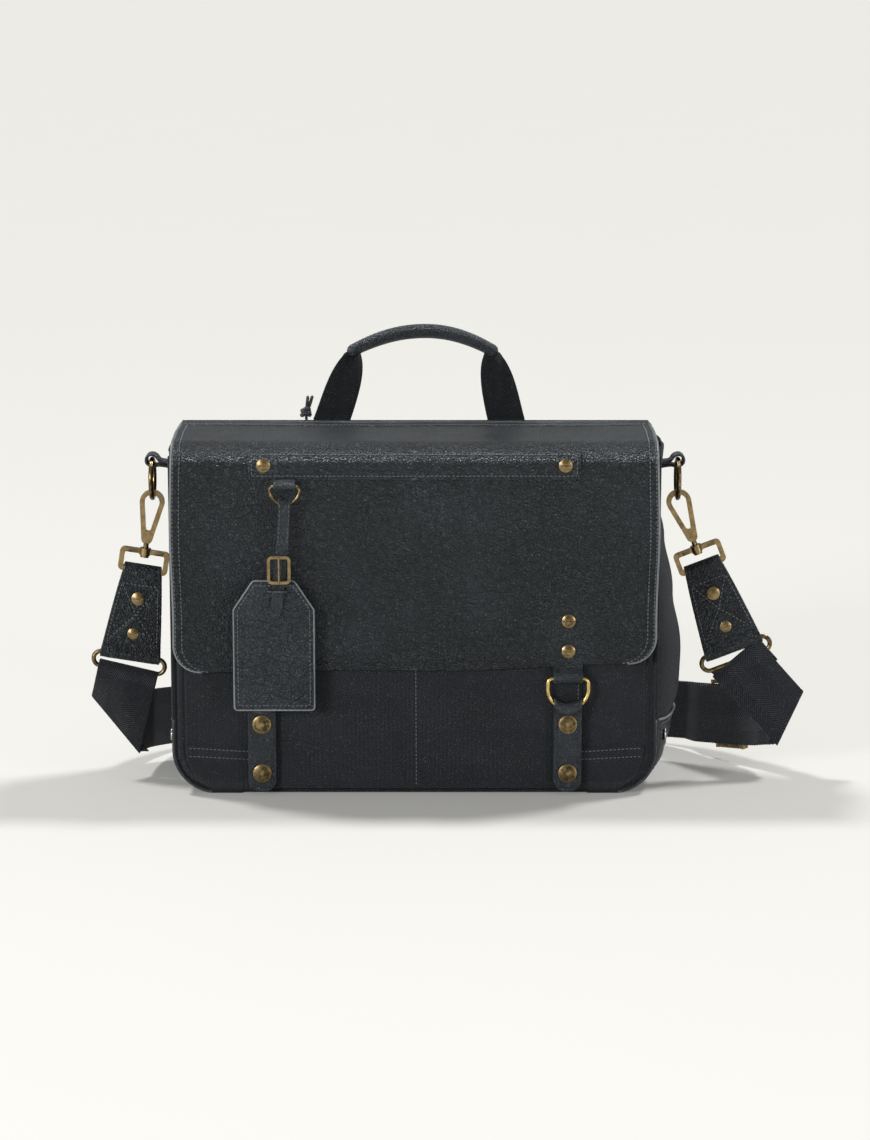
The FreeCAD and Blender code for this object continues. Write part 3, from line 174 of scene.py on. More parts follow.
def herringbone_group():
    """Chevron weave in metres: columns of twill that lean one way, then the other."""
    group, have, give = new_group(
        "Herringbone weave",
        [("Vector", "vector", None), ("Pitch", "value", 0.0012), ("Column", "value", 0.006),
         ("Dark", "colour", (0.01, 0.01, 0.01, 1)), ("Light", "colour", (0.1, 0.1, 0.1, 1))],
        [("Color", "colour"), ("Height", "value"), ("Mask", "value")])
    parts = add(group, "ShaderNodeSeparateXYZ", Vector=have["Vector"])
    across = calc(group, "PINGPONG", parts.outputs[0], have["Column"])
    wobble = calc(group, "MULTIPLY", speckle(group, have["Vector"], 90.0, 2.0), have["Pitch"])
    slant = calc(group, "ADD", calc(group, "ADD", across, parts.outputs[1]), wobble)
    turns = calc(group, "DIVIDE", slant, have["Pitch"])
    rib = calc(group, "SINE", calc(group, "MULTIPLY", turns, 2 * math.pi))
    rib = remap(group, rib, -1.0, 1.0)
    picks = calc(group, "DIVIDE", parts.outputs[1], calc(group, "MULTIPLY", have["Pitch"], 0.5))
    pick = calc(group, "SINE", calc(group, "MULTIPLY", picks, 2 * math.pi))
    height = calc(group, "MULTIPLY_ADD", pick, 0.12, rib)
    thread = speckle(group, have["Vector"], 1300.0, 2.0)
    patch = remap(group, speckle(group, have["Vector"], 22.0, 3.0), 0.3, 0.75)
    tone = calc(group, "MULTIPLY", height, calc(group, "MULTIPLY_ADD", thread, 0.9, 0.15))
    tone = calc(group, "MULTIPLY_ADD", patch, 0.18, tone)
    group.links.new(blend_colour(group, tone, have["Dark"], have["Light"]), give["Color"])
    group.links.new(height, give["Height"])
    group.links.new(tone, give["Mask"])
    return group


def worn_group():
    """Mask of raised edges, broken up so that the wear is uneven."""
    group, have, give = new_group(
        "Edge wear",
        [("Vector", "vector", None), ("Low", "value", 0.52), ("High", "value", 0.6), ("Break", "value", 0.6)],
        [("Mask", "value"), ("Dirt", "value")])
    edge = group.nodes.new("ShaderNodeNewGeometry").outputs["Pointiness"]
    raised = remap(group, edge, have["Low"], have["High"])
    sunk = remap(group, edge, 0.49, 0.42)
    patchy = remap(group, speckle(group, have["Vector"], 160.0, 4.0), 0.35, 0.65)
    kept = calc(group, "SUBTRACT", 1.0, calc(group, "MULTIPLY", have["Break"], patchy))
    group.links.new(calc(group, "MULTIPLY", raised, kept), give["Mask"])
    group.links.new(sunk, give["Dirt"])
    return group


PEBBLE = pebble_group()
HERRINGBONE = herringbone_group()
WORN = worn_group()


def use(tree, group, **sockets):
    node = tree.nodes.new("ShaderNodeGroup")
    node.node_tree = group
    for key, value in sockets.items():
        put(tree, node.inputs[key], value)
    return node.outputs


def start(name, **fixed):
    """New material with its Principled shader; fixed values sit on the shader's own sockets."""
    material = bpy.data.materials.new(name)
    material.use_nodes = True
    tree = material.node_tree
    shader = tree.nodes["Principled BSDF"]
    for key, value in fixed.items():
        put(tree, shader.inputs[key.replace("_", " ")], value)
    return material, tree, shader.inputs


def relief(tree, shader, height, depth):
    bump = add(tree, "ShaderNodeBump", Strength=1.0, Distance=depth, Height=height)
    tree.links.new(bump.outputs["Normal"], shader["Normal"])


def place_of(tree):
    return tree.nodes.new("ShaderNodeTexCoord").outputs["Object"]


def cloth_place(tree, by_uv):
    """Metres across the cloth: the cut piece's own UVs, or X and Z for pieces that have none."""
    if by_uv:
        return tree.nodes.new("ShaderNodeTexCoord").outputs["UV"]
    parts = add(tree, "ShaderNodeSeparateXYZ", Vector=place_of(tree))
    flat = add(tree, "ShaderNodeCombineXYZ", X=parts.outputs[0], Y=parts.outputs[2])
    return flat.outputs[0]


# ------------------------------------------------------------------ materials
WORN_LEATHER = (0.2, 0.21, 0.21, 1)
LINT = (0.12, 0.13, 0.14, 1)
METAL_DIRT = (0.03, 0.024, 0.016, 1)
CLOTH_ROUGH = 0.85


def leather_material(name, valley, crest, size, crease, depth):
    material, tree, shader = start(name, Specular_IOR_Level=0.62, Specular_Tint=(0.84, 0.93, 1.0, 1),
                                   Coat_Weight=0.06, Coat_Roughness=0.3)
    spot = place_of(tree)
    # the grain's colour holds painted shade in its valleys and creases, over random tone
    grain = use(tree, PEBBLE, Vector=spot, Size=size, Crease=crease, Valley=valley, Crest=crest)
    wear = use(tree, WORN, Vector=spot, Low=0.515, High=0.6, Break=0.75)
    colour = blend_colour(tree, calc(tree, "MULTIPLY", wear["Mask"], 0.8), grain["Color"], WORN_LEATHER)
    tree.links.new(colour, shader["Base Color"])
    tree.links.new(grain["Roughness"], shader["Roughness"])
    relief(tree, shader, grain["Height"], depth)
    return material


def cloth_material(name, dark, light, pitch, column, depth, by_uv):
    material, tree, shader = start(name, Sheen_Weight=0.12, Sheen_Roughness=0.5, Specular_IOR_Level=0.2)
    weave = use(tree, HERRINGBONE, Vector=cloth_place(tree, by_uv), Pitch=pitch, Column=column,
                Dark=dark, Light=light)
    lint = speckle(tree, place_of(tree), 900.0, 1.0)
    fleck = remap(tree, lint, 0.64, 0.72)
    colour = blend_colour(tree, calc(tree, "MULTIPLY", fleck, 0.5), weave["Color"], LINT)
    tree.links.new(colour, shader["Base Color"])
    tree.links.new(calc(tree, "MULTIPLY_ADD", weave["Mask"], -0.12, CLOTH_ROUGH), shader["Roughness"])
    relief(tree, shader, weave["Height"], depth)
    return material


def metal_material(name, dark, bright, rough, patina):
    """Aged plated metal: dark in the hollows, rubbed bright on the edges."""
    material, tree, shader = start(name, Metallic=1.0)
    spot = place_of(tree)
    wear = use(tree, WORN, Vector=spot, Low=0.5, High=0.57, Break=0.4)
    cloud = remap(tree, speckle(tree, spot, 260.0, 5.0, 0.65), 0.35, 0.68)
    colour = blend_colour(tree, cloud, dark, bright)
    colour = blend_colour(tree, calc(tree, "MULTIPLY", wear["Mask"], 0.7), colour,
                          (*[min(1.0, c * 1.35) for c in bright], 1))
    colour = blend_colour(tree, calc(tree, "MULTIPLY", wear["Dirt"], patina), colour, METAL_DIRT)
    tree.links.new(colour, shader["Base Color"])
    scratch = speckle(tree, spot, 1800.0, 3.0)
    tree.links.new(calc(tree, "MULTIPLY_ADD", cloud, -0.12, calc(tree, "MULTIPLY_ADD", scratch, 0.16, rough)),
                   shader["Roughness"])
    relief(tree, shader, scratch, 0.00004)
    return material


def thread_material(name, colour, light):
    material, tree, shader = start(name, Specular_IOR_Level=0.35, Sheen_Weight=0.1)
    twist = add(tree, "ShaderNodeTexWave", {"bands_direction": "DIAGONAL"}, Vector=place_of(tree),
                Scale=900.0)
    tint = blend_colour(tree, twist.outputs["Fac"], (*colour, 1), (*light, 1))
    tree.links.new(tint, shader["Base Color"])
    tree.links.new(remap(tree, twist.outputs["Fac"], 0.0, 1.0, 0.6, 0.45), shader["Roughness"])
    relief(tree, shader, twist.outputs["Fac"], 0.00006)
    return material


def plain_material(name, low, high, scale, rough, depth):
    material, tree, shader = start(name, Specular_IOR_Level=0.3)
    mottle = speckle(tree, place_of(tree), scale, 5.0)
    tree.links.new(blend_colour(tree, mottle, (*low, 1), (*high, 1)), shader["Base Color"])
    tree.links.new(calc(tree, "MULTIPLY_ADD", mottle, 0.15, rough), shader["Roughness"])
    relief(tree, shader, mottle, depth)
    return material


# name, tone of the valleys and of the crests (the valleys are painted darker as shade), pebble size, depth of
# the creases, relief
FLAP_LEATHER, STRIP_LEATHER, TRIM_LEATHER, TAG_LEATHER, EDGE_LEATHER = [leather_material(*values) for values in (
    ("flap leather", (0.0016, 0.0021, 0.0026), (0.027, 0.032, 0.0375), 0.0023, 0.4, 0.0017),
    ("strip leather", (0.0016, 0.0021, 0.0026), (0.026, 0.031, 0.0365), 0.0025, 0.45, 0.0014),
    ("trim leather", (0.003, 0.0038, 0.0048), (0.0215, 0.026, 0.031), 0.0016, 0.3, 0.0006),
    ("tag leather", (0.004, 0.0052, 0.0065), (0.036, 0.044, 0.052), 0.0025, 0.55, 0.0013),
    ("cut leather edge", (0.09, 0.1, 0.105), (0.32, 0.34, 0.35), 0.0009, 0.2, 0.0002))]
# name, dark and light tone, pitch of the ribs, width of a column, relief, woven along the UVs or not
CANVAS, CANVAS_SEAM, WEBBING, HANDLE_WEB, TAPE, LINING_CLOTH, PADDING = [cloth_material(*values) for values in (
    ("canvas", (0.0007, 0.0010, 0.0019), (0.0205, 0.0265, 0.0395), 0.0017, 0.0017, 0.0009, True),
    ("canvas seam", (0.0010, 0.0014, 0.0026), (0.0140, 0.0185, 0.0285), 0.0015, 0.0016, 0.0005, False),
    ("webbing", (0.0016, 0.0022, 0.0036), (0.024, 0.031, 0.044), 0.0024, 0.0125, 0.0010, True),
    ("handle webbing", (0.0010, 0.0013, 0.0021), (0.0125, 0.016, 0.0225), 0.0022, 0.008, 0.0007, True),
    ("zip tape", (0.006, 0.007, 0.01), (0.02, 0.024, 0.032), 0.0007, 0.0015, 0.0001, False),
    ("lining cloth", (0.085, 0.08, 0.068), (0.26, 0.245, 0.205), 0.0011, 0.0011, 0.0001, True),
    ("padded cloth", (0.05, 0.05, 0.047), (0.2, 0.2, 0.185), 0.0014, 0.0014, 0.00014, False))]
BOARD = plain_material("board", (0.04, 0.04, 0.04), (0.09, 0.09, 0.088), 350.0, 0.6, 0.0001)
BRASS = metal_material("antique brass", (0.052, 0.038, 0.02), (0.27, 0.195, 0.095), 0.3, 0.85)
RUBBED_BRASS = metal_material("rubbed brass", (0.42, 0.30, 0.10), (0.78, 0.58, 0.24), 0.24, 0.6)
NICKEL = metal_material("worn nickel", (0.22, 0.215, 0.205), (0.52, 0.51, 0.49), 0.3, 0.6)
ZIP_METAL = metal_material("zip metal", (0.05, 0.042, 0.03), (0.2, 0.16, 0.1), 0.4, 0.7)
DARK_THREAD = thread_material("dark thread", (0.008, 0.010, 0.013), (0.03, 0.035, 0.042))
PALE_THREAD = thread_material("grey thread", (0.05, 0.058, 0.066), (0.19, 0.205, 0.22))


# ------------------------------------------------------------------ mesh helpers
def piece(name, points, faces, material, uvs=None, body=None, slot=None, stands_for=()):
    mesh = bpy.data.meshes.new(name)
    mesh.from_pydata([tuple(p) for p in points], [], faces)
    shape = bmesh.new()
    shape.from_mesh(mesh)
    bmesh.ops.recalc_face_normals(shape, faces=shape.faces)
    shape.to_mesh(mesh)
    shape.free()
    if uvs:
        layer = mesh.uv_layers.new(name="metres")
        for loop in mesh.loops:
            layer.data[loop.index].uv = uvs[loop.vertex_index]
    mesh.shade_smooth()
    mesh.materials.append(material)
    made = bpy.data.objects.new(name, mesh)
    scene.collection.objects.link(made)
    if stands_for:
        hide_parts(*stands_for)
    if body:
        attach(made, body)
    return made


def band(base, rings, sides, closed=False):
    """Faces between the rings of points that start at number base."""
    faces = []
    for i in range(rings if closed else rings - 1):
        j = (i + 1) % rings
        for k in range(sides):
            m = (k + 1) % sides
            faces.append((base + i * sides + k, base + i * sides + m,
                          base + j * sides + m, base + j * sides + k))
    return faces


def solid_band(base, rings, sides):
    """The same faces with a cap on the first and the last ring."""
    last = base + (rings - 1) * sides
    return band(base, rings, sides) + [tuple(range(base, base + sides)), tuple(range(last, last + sides))]


def spread(low, high, count):
    """count + 1 numbers at equal spacing from low to high."""
    return [low + (high - low) * k / count for k in range(count + 1)]


def even(line, step, closed=False):
    """Points at equal spacing along a line, about a step apart."""
    spots = [Vector(p) for p in line]
    if closed:
        spots.append(spots[0].copy())
    marks = [0.0]
    for a, b in zip(spots, spots[1:]):
        marks.append(marks[-1] + (b - a).length)
    count = max(2, round(marks[-1] / step))
    out = []
    k = 0
    for i in range(count + 1):
        want = marks[-1] * i / count
        while k < len(marks) - 2 and marks[k + 1] < want:
            k += 1
        gap = marks[k + 1] - marks[k]
        out.append(spots[k].lerp(spots[k + 1], (want - marks[k]) / gap if gap else 0.0))
    return out[:-1] if closed else out


def smooth_line(points, step, closed=False):
    """Even points on a smooth curve through the given points."""
    spots = [Vector(p) for p in points]
    count = len(spots)
    dense = []
    for i in range(count if closed else count - 1):
        if closed:
            a, b, c, d = (spots[(i + k) % count] for k in (-1, 0, 1, 2))
        else:
            a, b, c, d = spots[max(i - 1, 0)], spots[i], spots[i + 1], spots[min(i + 2, count - 1)]
        for k in range(12):
            t = k / 12
            dense.append(0.5 * (2 * b + (c - a) * t + (2 * a - 5 * b + 4 * c - d) * t * t
                                + (3 * b - a - 3 * c + d) * t ** 3))
    if not closed:
        dense.append(spots[-1])
    return even(dense, step, closed)


class Run:
    """A profile in the YZ plane with its length; at(s) gives the point and outward normal."""

    def __init__(self, points):
        self.line = smooth_line([(0, y, z) for y, z in points], 0.0005)
        self.length = sum((b - a).length for a, b in zip(self.line, self.line[1:]))

    def at(self, s):
        where = min(max(s / self.length, 0.0), 1.0) * (len(self.line) - 1)
        k = min(int(where), len(self.line) - 2)
        a, b = self.line[k], self.line[k + 1]
        low = self.line[max(k - 2, 0)]
        high = self.line[min(k + 3, len(self.line) - 1)]
        return a.lerp(b, where - k), (high - low).normalized().cross(X)

    def put(self, u, s, h):
        spot, out = self.at(s)
        return Vector((u, 0, 0)) + spot + out * h


def ease(t):
    t = min(max(t, 0.0), 1.0)
    return t * t * (3 - 2 * t)


def table(value, pairs):
    """Smooth value read from (position, value) pairs."""
    if value <= pairs[0][0]:
        return pairs[0][1]
    for (a, va), (b, vb) in zip(pairs, pairs[1:]):
        if value <= b:
            return va + (vb - va) * ease((value - a) / (b - a))
    return pairs[-1][1]


def wave(x, y, z, size, amount):
    """Slow unevenness of soft material."""
    return noise.noise(Vector((x, y, z)) / size) * amount


def bell(x, width):
    return math.exp(-(x / width) ** 2)


# the rounded rim of a cut piece: share of the rim outwards, share of the half thickness up
EDGE_ROUND = [(0.38, 0.92), (0.74, 0.66), (1.0, 0.25), (1.0, -0.25), (0.74, -0.66), (0.38, -0.92)]


def cut(name, rows, columns, place, thick, material, lift=None, puff=None, rim=None, **where):
    """A piece cut from sheet: rows are (v, left, right), and place(u, v, h) puts it in space.

    lift moves both faces, puff only the outer one, and rim is the width of the rounded edge."""
    lift = lift or (lambda u, v: 0.0)
    puff = puff or (lambda u, v: 0.0)
    rim = rim or 0.45 * thick
    sign = 1 if rows[-1][0] > rows[0][0] else -1
    low_v = rows[0][0] + sign * rim
    high_v = rows[-1][0] - sign * rim
    half = thick / 2
    points, uvs = [], []

    def put_point(u, v, h):
        points.append(place(u, v, h))
        uvs.append((u, v))
        return len(points) - 1

    flat = []
    for v, left, right in rows:
        v = sign * min(max(sign * v, sign * low_v), sign * high_v)
        middle = (left + right) / 2
        reach = max((right - left) / 2 - rim, 0.0001)
        flat.append([(middle - reach + 2 * reach * i / columns, v) for i in range(columns + 1)])
    front = [[put_point(u, v, half + lift(u, v) + puff(u, v)) for u, v in row] for row in flat]
    back = [[put_point(u, v, -half + lift(u, v)) for u, v in row] for row in flat]
    last = len(rows) - 1
    loop = [(0, c) for c in range(columns)] + [(r, columns) for r in range(last)]
    loop += [(last, c) for c in range(columns, 0, -1)] + [(r, 0) for r in range(last, 0, -1)]
    ring_uv = [flat[r][c] for r, c in loop]
    area = sum(a[0] * b[1] - b[0] * a[1] for a, b in zip(ring_uv, ring_uv[1:] + ring_uv[:1]))
    turn = 1 if area > 0 else -1
    count = len(loop)
    normals = []
    for i in range(count):
        a, b = ring_uv[i - 2], ring_uv[(i + 2) % count]
        du, dv = b[0] - a[0], b[1] - a[1]
        size = math.hypot(du, dv) or 1.0
        normals.append((turn * dv / size, -turn * du / size))
    rings = [[front[r][c] for r, c in loop]]
    for out, up in EDGE_ROUND:
        ring = []
        for (u, v), (nu, nv) in zip(ring_uv, normals):
            h = lift(u, v) + half * up + puff(u, v) * (up + 1) / 2
            ring.append(put_point(u + nu * rim * out, v + nv * rim * out, h))
        rings.append(ring)
    rings.append([back[r][c] for r, c in loop])
    faces = []
    for grid in (front, back):
        for r in range(last):
            for c in range(columns):
                faces.append((grid[r][c], grid[r][c + 1], grid[r + 1][c + 1], grid[r + 1][c]))
    for a, b in zip(rings, rings[1:]):
        for i in range(count):
            k = (i + 1) % count
            faces.append((a[i], a[k], b[k], b[i]))
    return piece(name, points, faces, material, uvs, **where)


def tube(name, line, radius, material, sides=16, closed=False, flatten=1.0, up=Z, **where):
    """A round or oval bar along a line; radius may be a function of the share of its length."""
    size = radius if callable(radius) else (lambda t: radius)
    spots = [Vector(p) for p in line]
    count = len(spots)
    points, uvs = [], []
    side = None
    stations = []
    run = 0.0
    for i, spot in enumerate(spots):
        a = spots[i - 1] if closed or i else spots[i]
        b = spots[(i + 1) % count] if closed or i < count - 1 else spots[i]
        ahead = (b - a).normalized()
        if side is None:
            side = ahead.cross(up if ahead.cross(up).length > 0.1 else X).normalized()
        side = (side - ahead * side.dot(ahead)).normalized()
        rise = side.cross(ahead)
        if i:
            run += (spot - spots[i - 1]).length
        stations.append((spot, side, rise, size(i / (count - 1)), run, ahead))
    if not closed:
        first, final = stations[0], stations[-1]
        for share, back in ((0.85, 0.45), (0.5, 0.8), (0.05, 0.95)):
            for (spot, side, rise, r, s, ahead), way in ((first, -1), (final, 1)):
                cap = (spot + ahead * (way * r * back), side, rise, r * share, s, ahead)
                stations.insert(0 if way < 0 else len(stations), cap)
    for spot, side, rise, r, s, ahead in stations:
        for k in range(sides):
            angle = 2 * math.pi * k / sides
            points.append(spot + side * (math.cos(angle) * r) + rise * (math.sin(angle) * r * flatten))
            uvs.append((k / sides * 2 * math.pi * r, s))
    faces = band(0, len(stations), sides, True) if closed else solid_band(0, len(stations), sides)
    return piece(name, points, faces, material, uvs, **where)


STITCH_PITCH = 0.0034
STITCH_LENGTH = 0.0025
STITCH_RADIUS = 0.00045
FINE_STITCH = 0.00038
# along a stitch: share of its length, rise and size in radii
STITCH_SHAPE = [(0.0, -1.3, 0.5), (0.12, 0.0, 0.9), (0.5, 0.45, 1.0), (0.88, 0.0, 0.9), (1.0, -1.3, 0.5)]


def stitches(name, lines, place, height, material, radius=STITCH_RADIUS, **where):
    """Rows of thread lying in the surface: each stitch dips at both ends."""
    points, faces = [], []
    sides = 6
    for line in lines:
        spots = even([(u, v, 0) for u, v in line], STITCH_PITCH)
        for a, b in zip(spots, spots[1:]):
            end = a.lerp(b, STITCH_LENGTH / STITCH_PITCH)
            faces += solid_band(len(points), len(STITCH_SHAPE), sides)
            for t, rise, size in STITCH_SHAPE:
                mid = a.lerp(end, t)
                here = place(mid.x, mid.y, height + rise * radius)
                out = (place(mid.x, mid.y, height + 0.001) - place(mid.x, mid.y, height)).normalized()
                ahead = place(end.x, end.y, height) - place(a.x, a.y, height)
                across = ahead.cross(out).normalized()
                for k in range(sides):
                    angle = 2 * math.pi * k / sides
                    points.append(here + (across * math.cos(angle) + out * math.sin(angle)) * radius * size)
    return piece(name, points, faces, material, **where)


def dome(name, spots, radius, rise, material, slot_width=0.0, **where):
    """Round heads standing on a surface: spots are (centre, outward direction). A slot_width
    cuts a screwdriver slot across each."""
    points, faces = [], []
    rings = 9
    sides = 32
    for centre, out in spots:
        side = out.cross(Z if abs(out.z) < 0.9 else X).normalized()
        up = side.cross(out)
        profile = [(1.0, 0.0), (1.0, 0.3)] + [
            (math.cos(k * math.pi / 2 / rings), 0.3 + 0.7 * math.sin(k * math.pi / 2 / rings))
            for k in range(1, rings + 1)]
        faces += solid_band(len(points), len(profile), sides)
        for size, high in profile:
            r = max(size, 0.02) * radius
            for k in range(sides):
                angle = 2 * math.pi * k / sides
                point = centre + side * (math.cos(angle) * r) + up * (math.sin(angle) * r)
                h = rise * high
                if slot_width and abs(math.sin(angle) * r) < slot_width / 2 and r < radius * 0.86:
                    h -= 0.45 * rise
                points.append(point + out * h)
    return piece(name, points, faces, material, **where)


def rounded_rows(low, high, half, low_radius, high_radius, step=0.004, centre=0.0):
    """Rows of a rounded rectangle, denser where the corners turn; half and centre may be functions
    of v."""
    marks = set()
    for k in range(9):
        a = math.pi / 2 * k / 8
        if low_radius:
            marks.add(round(low + low_radius * (1 - math.cos(a)), 6))
        if high_radius:
            marks.add(round(high - high_radius * (1 - math.cos(a)), 6))
    marks.update(round(v, 6) for v in spread(low, high, max(2, round((high - low) / step))))
    rows = []
    for v in sorted(marks):
        reach = half(v) if callable(half) else half
        for radius, gap in ((low_radius, v - low), (high_radius, high - v)):
            if radius and gap < radius:
                reach -= radius - math.sqrt(max(radius ** 2 - (radius - gap) ** 2, 0.0))
        reach = max(reach, 0.0004)
        middle = centre(v) if callable(centre) else centre
        rows.append((v, middle - reach, middle + reach))
    return rows


def span_rows(low, high, half, step):
    return [(v, -half, half) for v in spread(low, high, max(2, round((high - low) / step)))]


def shifted(rows, x):
    return [(v, x + left, x + right) for v, left, right in rows]


def rows_span(rows, v):
    """Left and right edge of a piece at v."""
    for a, b in zip(rows, rows[1:]):
        if a[0] <= v <= b[0]:
            t = (v - a[0]) / (b[0] - a[0]) if b[0] > a[0] else 0
            return a[1] + (b[1] - a[1]) * t, a[2] + (b[2] - a[2]) * t
    return rows[-1][1:] if v > rows[-1][0] else rows[0][1:]


def border(rows, inset, top=True):
    """Line that runs round a piece, inset from its edge: down one side, along, and up the other."""
    low, high = rows[0][0], rows[-1][0]
    left, right = [], []
    for v, a, b in rows:
        if low + inset <= v <= high - (inset if top else 0.0) and b - a > 2.2 * inset:
            left.append((a + inset, v))
            right.append((b - inset, v))
    if not left:
        return []
    foot = (right[0][1] + left[0][1]) / 2
    line = left[::-1] + [((left[0][0] + right[0][0]) / 2, foot)] + right
    if top:
        line += [((left[-1][0] + right[-1][0]) / 2, right[-1][1]), left[-1]]
    return line


def flat_back(y):
    """Places a piece that stands upright and faces the back, its middle layer at y."""
    return lambda u, v, h: Vector((u, y + h, v))


# ------------------------------------------------------------------ sizes taken from the frame
def low_of(node):
    return Vector(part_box(node)[0])


def high_of(node):
    return Vector(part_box(node)[1])


def mid_of(node):
    return (low_of(node) + high_of(node)) / 2


SIDES = ((-1, "left"), (1, "right"))
# body and material slot of the pieces
BODY_CANVAS = {"body": "root", "slot": "body_canvas"}
BODY_TRIM = {"body": "root", "slot": "trim_leather"}
BODY_WEB = {"body": "root", "slot": "webbing"}
FLAP_TRIM = {"body": "flap_front", "slot": "trim_leather"}
TAG_TRIM = {"body": "tag", "slot": "trim_leather"}
GRIP_TRIM = {"body": "handle", "slot": "trim_leather"}
STRAP_WEB = {"body": "strap", "slot": "webbing"}
STRAP_TRIM = {"body": "strap", "slot": "trim_leather"}

HALF_WIDTH = high_of("corner_guard_right").x
HALF_DEPTH = high_of("back_panel").y
TOP = high_of("front_panel").z
CORNER = 0.036              # lower corners of the body
GUSSET_HALF = HALF_DEPTH - 0.003
PANEL = 0.003               # thickness of the canvas walls
TOP_DIP = 0.004             # upper corners of the body under the fold of the flap
TOP_LEAN = 0.0025


# ------------------------------------------------------------------ body
def outline(s, inset=0.0):
    """Point and outward normal on the body's outline: s runs down the left side, along the
    base and up the right side."""
    radius = CORNER - inset
    side = TOP - CORNER
    bend = math.pi / 2 * CORNER
    base = 2 * (HALF_WIDTH - CORNER)
    if s < side:
        return Vector((-HALF_WIDTH + inset, 0, TOP - s)), Vector((-1, 0, 0))
    s -= side
    for centre_x, turn, after in ((-HALF_WIDTH + CORNER, 0.0, base), (HALF_WIDTH - CORNER, 1.0, side)):
        if s < bend:
            angle = math.pi + s / CORNER if not turn else 1.5 * math.pi + s / CORNER
            out = Vector((math.cos(angle), 0, math.sin(angle)))
            return Vector((centre_x, 0, CORNER)) + out * radius, out
        s -= bend
        if s < after:
            if not turn:
                return Vector((-HALF_WIDTH + CORNER + s, 0, inset)), Vector((0, 0, -1))
            return Vector((HALF_WIDTH - inset, 0, CORNER + s)), Vector((1, 0, 0))
        s -= after
    return Vector((HALF_WIDTH - inset, 0, TOP)), Vector((1, 0, 0))


SIDE_RUN = TOP - CORNER
BEND_RUN = math.pi / 2 * CORNER
BASE_RUN = 2 * (HALF_WIDTH - CORNER)
WHOLE_RUN = 2 * SIDE_RUN + 2 * BEND_RUN + BASE_RUN

# how far each gusset swells outwards, by height
BULGE_RIGHT = [(0.0, 0.0), (0.012, 0.002), (0.03, 0.0095), (0.05, 0.0155), (0.08, 0.0215), (0.115, 0.0235),
               (0.16, 0.0165), (0.21, 0.0075), (0.245, 0.0018), (0.284, 0.007)]
BULGE_LEFT = [(0.0, 0.0), (0.012, 0.0002), (0.05, 0.0015), (0.10, 0.003), (0.2, 0.004), (0.245, 0.0008),
              (0.284, 0.003)]
RING_TAB = high_of("ring_tabs").z       # the gussets lie flat round the ring tabs


def gusset_place(side):
    pairs = BULGE_RIGHT if side > 0 else BULGE_LEFT

    def place(u, v, h):
        """u runs across the gusset from front to back, v along it from the middle of the base."""
        s = WHOLE_RUN / 2 + v
        spot, out = outline(s)
        share = max(0.0, 1 - (u / GUSSET_HALF) ** 2)
        near_tab = bell(spot.z - RING_TAB + 0.017, 0.022) * bell(u, 0.018)
        swell = table(spot.z, pairs) * share ** 0.62 * (1 - near_tab)
        fold = wave(u * 1.6, side * 0.3, v, 0.045, 0.0022) * share * (1 - near_tab) * ease(v / 0.3)
        crease = -0.0022 * bell(spot.z - 0.225 + 0.5 * u, 0.010) * share * (1 - near_tab)
        offset = -0.0018 - PANEL / 2 + swell + (fold + crease) * ease((spot.z - 0.01) / 0.03) + h
        if side < 0:
            spot = Vector((-spot.x, spot.y, spot.z))
            out = Vector((-out.x, out.y, out.z))
        dip = TOP_DIP * ease((abs(u) - 0.038) / 0.014) * ease((spot.z - TOP + 0.014) / 0.014)
        return Vector((spot.x, u, spot.z - dip)) + out * offset

    return place


